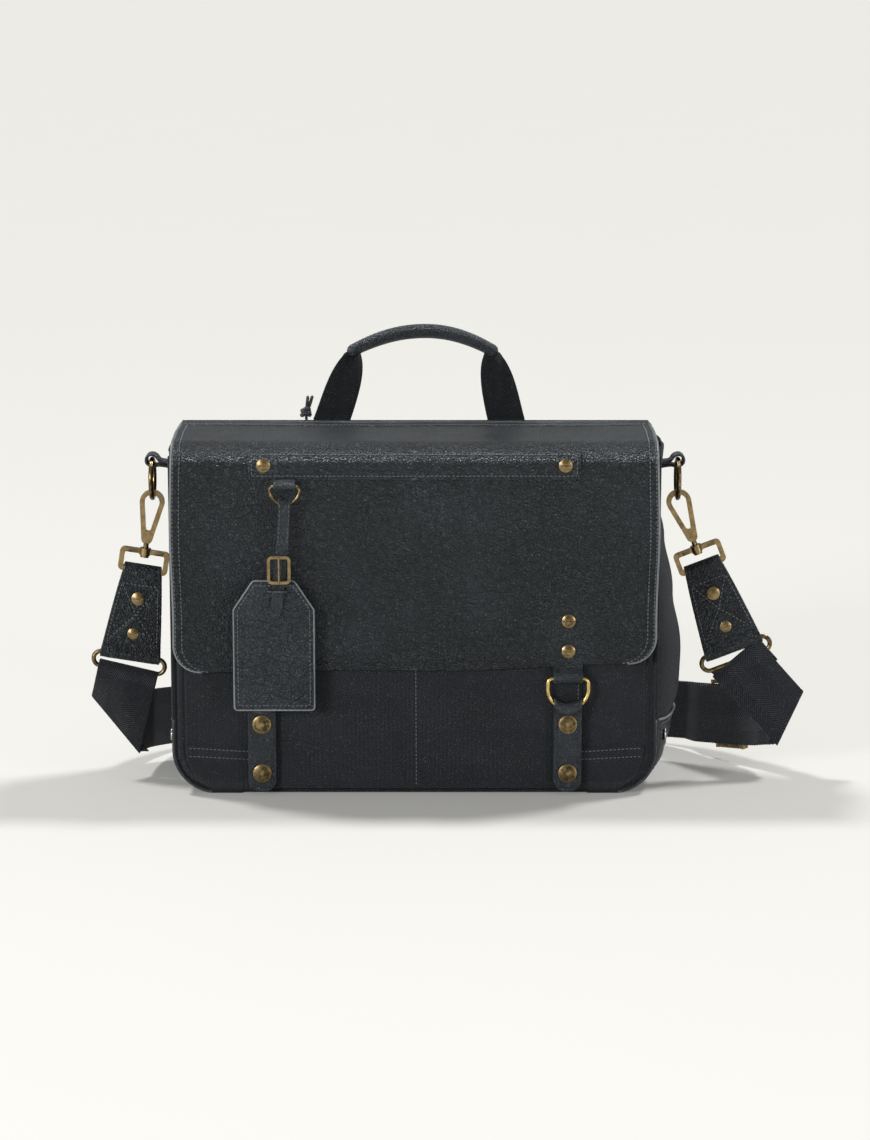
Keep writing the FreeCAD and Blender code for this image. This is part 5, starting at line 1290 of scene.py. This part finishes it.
# ------------------------------------------------------------------ back zip and its lace
LACE = 0.0024
ROUTE = [(-0.092, 0.0652, 0.2592), (-0.0912, 0.0676, 0.269), (-0.0922, 0.0696, 0.2785),
         (-0.0914, 0.0702, 0.288), (-0.0924, 0.0696, 0.297)]
lace_curve = bpy.data.curves.new("lace", "CURVE")
lace_curve.dimensions = "3D"
lace_curve.bevel_depth = LACE / 2
lace_curve.bevel_resolution = 5
lace_curve.resolution_u = 24
lace_curve.use_fill_caps = True
spline = lace_curve.splines.new("NURBS")
spline.points.add(len(ROUTE) - 1)
for point, spot in zip(spline.points, ROUTE):
    point.co = (*spot, 1)
spline.order_u = 3
spline.use_endpoint_u = True
lace_curve.materials.append(TRIM_LEATHER)
lace = bpy.data.objects.new("zip_lace_leather", lace_curve)
scene.collection.objects.link(lace)
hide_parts("zip_lace")
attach(lace, "zip_pull")
end = Vector(ROUTE[-1])
KNOT_TURNS = 3.0
knot_line = []
for t in spread(0.0, 1.0, 119):
    turn = 2 * math.pi * KNOT_TURNS * t
    knot_line.append(end + Vector((math.cos(turn) * (0.0031 - 0.0006 * t), math.sin(turn) * 0.0024,
                                   -0.0022 + 0.0048 * t + 0.0010 * math.sin(turn * 1.5))))
knot = tube("lace_knot_leather", knot_line, 0.0021, TRIM_LEATHER, 12, flatten=0.9, body="zip_pull",
            slot="trim_leather", stands_for=["lace_knot"])
for side, label, lean in ((-1, "left", 0.0012), (1, "right", 0.0036)):
    tail = smooth_line([end + Vector(spot) for spot in ((lean * 0.5, side * 0.0005, 0.002),
                                                        (lean, side * 0.0008, 0.007),
                                                        (lean * 1.5, side * 0.0009, 0.0128))], 0.0006)
    made = tube("lace_tail_" + label, tail, 0.0016, TRIM_LEATHER, 10, flatten=0.85, slot="trim_leather")
    made.parent = knot
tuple(ROUTE[0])

ZIP_Z = mid_of("zip_teeth").z
TEETH_HALF = high_of("zip_teeth").x
TEETH_FACE = low_of("zip_teeth").y
TAPE_LOW, TAPE_HIGH = low_of("zip_tape"), high_of("zip_tape")
TAPE_THICK = 0.0009
tape_place = flat_back(mid_of("zip_tape").y + 0.0002)
for label, low_z, high_z, hem_z in (("upper", ZIP_Z + 0.0022, TAPE_HIGH.z, TAPE_HIGH.z - 0.0012),
                                    ("lower", TAPE_LOW.z, ZIP_Z - 0.0022, TAPE_LOW.z + 0.0012)):
    cut("zip_tape_" + label, span_rows(low_z, high_z, TAPE_HIGH.x, 0.0015), 120, tape_place, TAPE_THICK, TAPE,
        lift=lambda u, v: wave(u, 1.0, v, 0.03, 0.00025), **BODY_WEB, stands_for=["zip_tape"])
    stitches("zip_thread_" + label,
             [[(-TAPE_HIGH.x + 0.002, z), (TAPE_HIGH.x - 0.002, z)] for z in ((low_z + high_z) / 2, hem_z)],
             tape_place, 0.0006, DARK_THREAD, radius=0.00028, **BODY_WEB)
TOOTH_PITCH = 0.0021
tooth_points, tooth_faces = [], []
for k in range(int(2 * TEETH_HALF / TOOTH_PITCH)):
    lean = 0.0009 if k % 2 else -0.0009
    x = -TEETH_HALF + (k + 0.5) * TOOTH_PITCH
    tooth_faces += solid_band(len(tooth_points), 3, 4)
    for rise, size in ((0.0, 1.0), (0.0010, 1.0), (0.0016, 0.6)):
        for a, b in ((-1, -1), (1, -1), (1, 1), (-1, 1)):
            tooth_points.append((x + a * 0.00072 * size, TEETH_FACE + rise, ZIP_Z + lean + b * 0.0019 * size))
teeth = piece("zip_teeth_metal", tooth_points, tooth_faces, ZIP_METAL, body="root", slot="brass",
              stands_for=["zip_teeth"])
teeth.data.shade_flat()

# ------------------------------------------------------------------ ring tabs on the gussets
RING_X = mid_of("side_ring_right").x
RING_TOP = high_of("side_ring_right").z - 0.002
LEAF_X = HALF_WIDTH - 0.0006
RING_WRAP = 0.0046
RING_TAB_THICK = 0.0023
# one leather strip: up the gusset, out and round the ring, and back down over itself
tab_line = Run([(LEAF_X, RING_TOP - 0.029), (LEAF_X, RING_TOP - 0.013), (LEAF_X + 0.0030, RING_TOP - 0.0062),
                (RING_X - 0.0068, RING_TOP - 0.0042), (RING_X - 0.0034, RING_TOP - 0.0046),
                (RING_X, RING_TOP - RING_WRAP), (RING_X + RING_WRAP * 0.75, RING_TOP - RING_WRAP * 0.7),
                (RING_X + RING_WRAP, RING_TOP), (RING_X + RING_WRAP * 0.7, RING_TOP + RING_WRAP * 0.75),
                (RING_X, RING_TOP + RING_WRAP), (RING_X - 0.0036, RING_TOP + 0.0032),
                (RING_X - 0.0068, RING_TOP - 0.0006), (LEAF_X + 0.0052, RING_TOP - 0.0022),
                (LEAF_X + 0.0030, RING_TOP - 0.0075), (LEAF_X + 0.0026, RING_TOP - 0.014),
                (LEAF_X + 0.0026, RING_TOP - 0.028)])
for side, label in SIDES:
    def ring_tab_place(u, s, h):
        p = tab_line.put(0, s, -h)
        return Vector((side * p.y, u, p.z))

    cut("ring_tab_leather_" + label, rounded_rows(0.0, tab_line.length, 0.007, 0.002, 0.004, 0.0012), 14,
        ring_tab_place, RING_TAB_THICK, TRIM_LEATHER, **BODY_TRIM, stands_for=["ring_tabs"])
    stitches("ring_tab_thread_" + label,
             [[(u, tab_line.length - 0.012), (u, tab_line.length - 0.003)] for u in (-0.0048, 0.0048)],
             ring_tab_place, -0.0012, DARK_THREAD, **BODY_TRIM)

# ------------------------------------------------------------------ shoulder strap
# the hook's frame on each side: origin, direction across and direction up
FRAMES = {}
for side, origin, up in ((1, (0.21729, 0, 0.232639), (-0.358368, 0, 0.93358)),
                         (-1, (-0.216563, 0, 0.232444), (0.156434, 0, 0.987688))):
    FRAMES[side] = (Vector(origin), Vector((up[2], 0, -up[0])), Vector(up))


def in_frame(side, u, y, v):
    origin, across, up = FRAMES[side]
    return origin + across * u + Y * y + up * v


UPPER_BAR, LOWER_BAR, RING_BAR = -0.058, -0.131, -0.1435
MIDDLE_Z = (UPPER_BAR + LOWER_BAR) / 2
LAYER = 0.0021              # one layer of the folded leather end
UPPER_WRAP, LOWER_WRAP = 0.0042, 0.0034
FRONT_LAYER, BACK_LAYER = -0.0013, 0.0012
SEAM_LOW, SEAM_HIGH = LOWER_BAR + 0.0105, UPPER_BAR - 0.0125    # ends of the stitched cross
SEAM_INSET = 0.003


def belt_half(z):
    """Half width of the leather end at a height in the hook's frame."""
    down = min(max((UPPER_BAR - z) / (UPPER_BAR - LOWER_BAR), 0.0), 1.0)
    return 0.0155 + 0.0095 * down ** 0.8


for side, label in SIDES:
    belt = Run([(BACK_LAYER, MIDDLE_Z), (BACK_LAYER, UPPER_BAR - 0.012), (0.0030, UPPER_BAR - 0.005),
                (UPPER_WRAP, UPPER_BAR), (UPPER_WRAP * 0.7, UPPER_BAR + UPPER_WRAP * 0.7),
                (0, UPPER_BAR + UPPER_WRAP), (-UPPER_WRAP * 0.7, UPPER_BAR + UPPER_WRAP * 0.7),
                (-UPPER_WRAP, UPPER_BAR), (-0.0030, UPPER_BAR - 0.005), (FRONT_LAYER, UPPER_BAR - 0.012),
                (FRONT_LAYER, MIDDLE_Z), (FRONT_LAYER, LOWER_BAR + 0.012), (-0.0026, LOWER_BAR + 0.005),
                (-LOWER_WRAP, LOWER_BAR), (-LOWER_WRAP * 0.7, LOWER_BAR - LOWER_WRAP * 0.7),
                (0, LOWER_BAR - LOWER_WRAP), (LOWER_WRAP * 0.7, LOWER_BAR - LOWER_WRAP * 0.7),
                (LOWER_WRAP, LOWER_BAR), (0.0026, LOWER_BAR + 0.005), (BACK_LAYER, LOWER_BAR + 0.012),
                (BACK_LAYER, MIDDLE_Z)])
    belt_rows = []
    for s in spread(0.0, belt.length, 190):
        half = belt_half(belt.at(s)[0].z)
        belt_rows.append((s, -half, half))

    def belt_place(u, s, h):
        spot, out = belt.at(s)
        return in_frame(side, u, spot.y + out.y * h, spot.z + out.z * h)

    def belt_swell(u, s):
        """The front layer puffs up between its seams, most of all in the top of the cross."""
        spot = belt.at(s)[0]
        if spot.y > 0:
            return 0.0
        half = belt_half(spot.z)
        gap = half - abs(u)
        lines = bell(gap - SEAM_INSET, 0.0009)
        raised = 0.0
        if SEAM_LOW < spot.z < SEAM_HIGH:
            share = (spot.z - SEAM_LOW) / (SEAM_HIGH - SEAM_LOW)
            lines = max(lines, bell(abs(abs(u) / (half - SEAM_INSET) - abs(2 * share - 1)), 0.07))
            raised = 0.0009 * ease((1 - 2 * share - abs(u) / half) / 0.15)
        return raised - 0.0004 * lines + 0.0003 * ease(gap / 0.003)

    cut("strap_end_leather_" + label, belt_rows, 36, belt_place, LAYER, STRIP_LEATHER, puff=belt_swell,
        **STRAP_TRIM, stands_for=["strap_end_" + label])

    def seam_edge(z):
        return belt_half(z) - SEAM_INSET

    edges = [[(end * seam_edge(z), z) for z in spread(SEAM_LOW, SEAM_HIGH, 12)] for end in (-1, 1)]
    levels = [[(-seam_edge(z), z), (seam_edge(z), z)] for z in (SEAM_LOW, SEAM_LOW - 0.0022, SEAM_HIGH)]
    cross = [[(end * seam_edge(SEAM_LOW), SEAM_LOW), (0, (SEAM_LOW + SEAM_HIGH) / 2),
              (-end * seam_edge(SEAM_HIGH), SEAM_HIGH)] for end in (-1, 1)]
    stitches("strap_end_thread_" + label, edges + levels + cross,
             lambda u, v, h: in_frame(side, u, FRONT_LAYER - LAYER / 2 - h, v), 0.0001, PALE_THREAD,
             **STRAP_TRIM)
    stitches("strap_end_back_thread_" + label, edges + cross,
             lambda u, v, h: in_frame(side, u, BACK_LAYER + LAYER / 2 + h, v), 0.0001, DARK_THREAD,
             **STRAP_TRIM)

WEB = 0.0018
WEB_HALF = 0.025


def fold_corners(side):
    """Webbing below a strap ring: inner top, inner fold end, outer top, outer fold end."""
    origin, across, up = FRAMES[side]
    across = across * side
    bar = origin + up * RING_BAR
    centre = Vector((RING_X + 0.096, 0, 0.050)) if side > 0 else Vector((-RING_X - 0.034, 0, 0.045))
    outward = X * side
    run = (centre - bar).normalized()
    crease = (run - outward).normalized()
    corners = []
    for end in (-1, 1):
        top = bar + across * (end * WEB_HALF)
        gap = centre - top
        det = run.x * crease.z - run.z * crease.x
        corners.append((top, top + run * ((gap.x * crease.z - gap.z * crease.x) / det)))
    return corners, run, across


FOLD_HALF = (WEB + 0.0006) / 2          # radius of the fold's middle layer
FOLD_SHARE = 0.06                       # rows given to the turn of the fold
WEB_WRAP = 0.0031
ring_run = Run([(FOLD_HALF * 2 + 0.0006, -0.022), (FOLD_HALF * 2 + 0.0002, -0.010), (WEB_WRAP, -0.002),
                (WEB_WRAP * 0.7, WEB_WRAP * 0.7), (0, WEB_WRAP), (-WEB_WRAP * 0.7, WEB_WRAP * 0.7),
                (-WEB_WRAP, -0.001), (-0.0014, -0.008), (0, -0.016)])
for side, label in SIDES:
    ((inner_top, inner_low), (outer_top, outer_low)), run, across = fold_corners(side)
    bar = (inner_top + outer_top) / 2
    lined = (-run).cross(Y)
    if lined.dot(across) < 0:
        lined = -lined

    def wrap_place(u, s, h):
        """Over the strap ring and a little way down on both sides."""
        spot, out = ring_run.at(s)
        return bar + lined * u + Y * (spot.y + out.y * h) - run * (spot.z + out.z * h)

    def drop_place(u, v, h):
        """u from the inner to the outer edge, v from 0 at the ring to 1 at the fold, then
        round the fold and a little way back."""
        share = (u + WEB_HALF) / (2 * WEB_HALF)
        top = inner_top.lerp(outer_top, share)
        fold = inner_low.lerp(outer_low, share)
        spot = top + run * ((fold - top).length * min(v, 1))
        belly = -0.0016 * math.sin(math.pi * min(v, 1)) * (1 + 0.6 * math.sin(5 * share))
        if v <= 1:
            return spot + Vector((0, belly - h, 0))
        turn = min((v - 1) / FOLD_SHARE, 1.0) * math.pi
        back = max(v - 1 - FOLD_SHARE, 0.0) * 0.09
        reach = FOLD_HALF + h
        out = run * (math.sin(turn) * reach) + Y * (FOLD_HALF - math.cos(turn) * reach)
        return spot + out - X * (side * back)

    drops = [k / 46 for k in range(46)] + spread(1.0, 1 + FOLD_SHARE, 11) + [1.08, 1.10, 1.12, 1.14]
    made = cut("strap_drop_webbing_" + label, [(v, -WEB_HALF, WEB_HALF) for v in drops], 40, drop_place, WEB,
               WEBBING, rim=0.0004, **STRAP_WEB, stands_for=["strap_webbing"])
    for item in made.data.uv_layers[0].data:
        item.uv = (item.uv[0], item.uv[1] * 0.075)
    cut("strap_wrap_webbing_" + label, span_rows(0.0, ring_run.length, WEB_HALF, 0.0012), 40, wrap_place, WEB,
        WEBBING, rim=0.0006, **STRAP_WEB)
    stitches("strap_wrap_thread_" + label,
             [[(-WEB_HALF + 0.002, v), (WEB_HALF - 0.002, v)] for v in (0.03, 0.08)],
             drop_place, WEB / 2 + 0.0002, DARK_THREAD, **STRAP_WEB)

# the strap's run behind the bag, from the right fold to the left fold: places of its lower edge
STATIONS = [(0.3005, 0.0026, 0.0262), (0.2925, 0.022, 0.0215), (0.2752, 0.0414, 0.0173),
            (0.2578, 0.0624, 0.0137), (0.240, 0.0839, 0.010), (0.2335, 0.0917, 0.0090),
            (0.212, 0.1090, 0.0062), (0.178, 0.126, 0.003), (0.136, 0.1415, 0.0014),
            (0.092, 0.152, 0.0008), (0.0, 0.160, 0.0008), (-0.092, 0.150, 0.0008),
            (-0.132, 0.137, 0.0014), (-0.168, 0.118, 0.003), (-0.196, 0.0945, 0.006),
            (-0.214, 0.068, 0.010), (-0.2262, 0.034, 0.0155), (-0.231, 0.0028, 0.0195)]
floor_line = smooth_line(STATIONS, 0.0016)
RUN = sum((b - a).length for a, b in zip(floor_line, floor_line[1:]))
RUN_STEP = RUN / (len(floor_line) - 1)


def run_place(u, s, h):
    """The strap stands on edge, leaning a little one way and the other."""
    where = min(max(s / RUN_STEP, 0), len(floor_line) - 1.001)
    k = int(where)
    spot = floor_line[k].lerp(floor_line[k + 1], where - k)
    ahead = floor_line[min(k + 3, len(floor_line) - 1)] - floor_line[max(k - 3, 0)]
    out = Vector((ahead.y, -ahead.x, 0)).normalized()
    high = u + WEB_HALF
    lean = 0.0030 * math.sin(s * 7.0) * (high / 0.05) * ease(s / 0.1) * ease((RUN - s) / 0.1)
    return Vector((spot.x, spot.y, spot.z + high)) + out * (h + lean)


def selvedge_rows(stations):
    """Webbing with the small scallops of its woven edges."""
    rows = []
    for s in stations:
        scallop = 0.0004 * math.sin(s * 2 * math.pi / 0.0026)
        rows.append((s, -WEB_HALF + scallop, WEB_HALF + scallop))
    return rows


LAP_END = 0.112             # loose end of the webbing, doubled back through the adjuster
LAP_LIFT = 0.0056


def lap_place(u, s, h):
    return run_place(u, s, h - WEB - LAP_LIFT * ease(s / 0.020) * ease((LAP_END - s) / 0.022))


cut("strap_run_webbing", selvedge_rows(spread(0.0, RUN, 1100)), 16, run_place, WEB, WEBBING, rim=0.0005,
    **STRAP_WEB)
cut("strap_lap_webbing", selvedge_rows(spread(0.003, LAP_END, 150)), 16, lap_place, WEB, WEBBING, rim=0.0005,
    **STRAP_WEB)

# ------------------------------------------------------------------ inside of the bag
LINING_LOW, LINING_HIGH = low_of("lining"), high_of("lining")
LINING = 0.0008             # thickness of the cloth


def lining_shell():
    """Loose cloth bag: rings from the hem down, then over the floor."""
    half_x, half_y = LINING_HIGH.x - LINING / 2, LINING_HIGH.y - LINING / 2
    points, uvs, faces = [], [], []
    around = 220
    loop = []
    for k in range(around):
        a = 2 * math.pi * k / around
        reach = 1 / max(abs(math.cos(a)) / half_x, abs(math.sin(a)) / half_y)
        loop.append((math.cos(a) * reach, math.sin(a) * reach, 0))
    spots = even(loop, 2 * (2 * half_x + 2 * half_y) / around, closed=True)
    around = len(spots)
    depth = LINING_HIGH.z - LINING_LOW.z
    rings = []
    for z in spread(LINING_HIGH.z - 0.0005, LINING_LOW.z + 0.0035, 60):
        rings.append([(p, z, (LINING_HIGH.z - z) / depth, corner_inset(z)) for p in spots])
    for share in (0.9, 0.7, 0.45, 0.2, 0.04):
        rings.append([(p * share, LINING_LOW.z + 0.0006, 1.0, 0.0) for p in spots])
    for layer in (0, 1):
        for ring in rings:
            for k, (p, z, down, narrow) in enumerate(ring):
                limit = half_x - narrow if z > LINING_LOW.z + 0.001 else half_x - 0.030
                x = max(-limit, min(limit, p.x))
                inward = Vector((-x, -p.y * 3, 0)).normalized()
                fold = 0.0022 * (0.5 + 0.5 * noise.noise(Vector((x * 14, p.y * 22, z * 9))))
                fold *= ease(down / 0.1) * ease((1 - down) / 0.08)
                hem = 0.0006 if 0.02 < down < 0.06 else 0.0
                point = Vector((x, p.y, z)) + inward * (fold + hem + layer * LINING)
                if layer and z <= LINING_LOW.z + 0.001:
                    point.z += LINING
                points.append(point)
                uvs.append((k * 0.0045, z if down < 1 else z - (1 - abs(p.y)) * 0.05))
    total = len(rings)
    for layer in (0, 1):
        first = layer * total * around
        floor = first + (total - 1) * around
        faces += band(first, total, around) + [tuple(range(floor, floor + around))]
    for k in range(around):
        m = (k + 1) % around
        faces.append((k, m, total * around + m, total * around + k))
    return piece("lining_cloth", points, faces, LINING_CLOTH, uvs, body="root", slot="lining_cloth",
                 stands_for=["lining"])


lining_shell()


def apply_modifiers(made):
    bpy.context.view_layer.update()
    graph = bpy.context.evaluated_depsgraph_get()
    mesh = bpy.data.meshes.new_from_object(made.evaluated_get(graph))
    made.modifiers.clear()
    made.data = mesh
    made.data.shade_smooth()


PAD_SWELL = 0.004           # the cloth may move this far from its cut shape
QUILT_LINES = (-0.126, -0.042, 0.042, 0.126)


def divider_pad():
    """Padded wall of the laptop sleeve, blown up a little as cloth and cut back to its space."""
    low, high = low_of("laptop_divider"), high_of("laptop_divider")
    thick = high.y - low.y
    middle = mid_of("laptop_divider").y
    rows = rounded_rows(low.z + 0.001, high.z - 0.001, high.x - 0.0015, 0.031, 0.012, 0.006)
    made = cut("laptop_divider_pad", rows, 60, flat_back(middle), thick - 0.003, PADDING, rim=0.003,
               slot="padding", stands_for=["laptop_divider"])
    rest = [v.co.copy() for v in made.data.vertices]
    remesh = made.modifiers.new("even out", "REMESH")
    remesh.mode = "VOXEL"
    remesh.voxel_size = 0.0055
    apply_modifiers(made)
    rest = [v.co.copy() for v in made.data.vertices]
    cloth = made.modifiers.new("swell", "CLOTH")
    cloth.settings.use_pressure = True
    cloth.settings.uniform_pressure_force = 3.0
    cloth.settings.effector_weights.gravity = 0.0
    cloth.settings.quality = 4
    for tick in range(1, 15):
        scene.frame_set(tick)
    apply_modifiers(made)
    scene.frame_set(1)
    for vertex, start_spot in zip(made.data.vertices, rest):
        moved = vertex.co - start_spot
        if moved.length > PAD_SWELL:
            vertex.co = start_spot + moved.normalized() * PAD_SWELL
        spot = vertex.co
        for line_x in QUILT_LINES:
            spot.y = middle + (spot.y - middle) * (1 - 0.42 * bell(spot.x - line_x, 0.003))
        spot.y = max(low.y - 0.0012, min(high.y + 0.0012, spot.y))
        spot.x = max(-high.x, min(high.x, spot.x))
        spot.z = max(low.z, min(high.z, spot.z))
    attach(made, "root")
    edge = even([(u, middle, v) for u, v in border(rows, 0.0012)], 0.004)[:-1]
    tube("divider_binding", edge,
         0.0026, TAPE, 10, closed=True, up=Y, body="root", slot="padding")


divider_pad()

# ------------------------------------------------------------------ finishes of the CAD parts that stay
FINISH = {"body_canvas": CANVAS_SEAM, "lining_cloth": LINING_CLOTH, "board": BOARD, "padding": PADDING,
          "flap_leather": FLAP_LEATHER, "trim_leather": TRIM_LEATHER, "webbing": TAPE, "brass": BRASS,
          "nickel": NICKEL}
SPECIAL = {"closure_ring_left": RUBBED_BRASS, "closure_ring_right": RUBBED_BRASS}
for part in frame["record"]["subparts"]:
    node = frame["nodes"][part["node"]]
    finish = SPECIAL.get(part["node"], FINISH[part["material_slot"]])
    if not node.material_slots:
        node.data.materials.append(finish)
    for holder in node.material_slots:
        holder.material = finish


# ------------------------------------------------------------------ floor and light
FLOOR_REACH = 600.0         # far enough for no edge to show
AIR_LIGHT, AIR_SEEN = 0.32, 0.80        # strength as light, and as seen above the floor's edge


def studio_floor():
    points = [(x * FLOOR_REACH, y * FLOOR_REACH, 0) for x, y in ((-1, -1), (1, -1), (1, 1), (-1, 1))]
    material, tree, shader = start("studio floor", Roughness=0.9, Specular_IOR_Level=0.0,
                                   Emission_Strength=0.12, Emission_Color=(0.888, 0.88, 0.84))
    tone = speckle(tree, place_of(tree), 3.0, 2.0)
    pale = blend_colour(tree, tone, (0.500, 0.496, 0.474, 1), (0.508, 0.504, 0.482, 1))
    tree.links.new(pale, shader["Base Color"])
    piece("studio_floor", points, [(0, 1, 2, 3)], material)


def hang(name, data, spot, aim):
    """Puts a lamp in place, shining along aim."""
    lamp = bpy.data.objects.new(name, data)
    lamp.location = spot
    lamp.rotation_euler = Vector(aim).to_track_quat("-Z", "Y").to_euler()
    scene.collection.objects.link(lamp)


def soft_light(name, spot, size, power):
    data = bpy.data.lights.new(name, "AREA")
    data.shape = "RECTANGLE"
    data.size, data.size_y = size
    data.energy = power
    hang(name, data, spot, Vector(LIT) - Vector(spot))


def high_light(name, lean_x, lean_y):
    """Distant light from overhead, leaning so that shadows fall forwards and outwards."""
    data = bpy.data.lights.new(name, "SUN")
    data.energy = SUN
    data.angle = math.radians(SUN_SPREAD)
    hang(name, data, (0, 0, 0), (lean_x, lean_y, -1))


LIT = (0.0, 0.0, 0.15)      # the middle of the bag
SUN, SUN_SPREAD = 2.1, 8    # strength, and width in degrees
studio_floor()
high_light("left overhead light", 0.55, -0.30)
high_light("right overhead light", -0.55, -0.30)
soft_light("left front light", (-2.8, -3.2, 1.3), (1.1, 1.1), 105.0)
soft_light("right front light", (3.2, -2.6, 1.0), (1.0, 1.6), 34.0)
world = bpy.data.worlds.new("studio air")
world.use_nodes = True
air = world.node_tree.nodes["Background"]
air.inputs["Color"].default_value = (1.0, 0.995, 0.975, 1)
seen = world.node_tree.nodes.new("ShaderNodeLightPath").outputs["Is Camera Ray"]
level = add(world.node_tree, "ShaderNodeMapRange", Value=seen, To_Min=AIR_LIGHT, To_Max=AIR_SEEN)
world.node_tree.links.new(level.outputs["Result"], air.inputs["Strength"])
scene.world = world
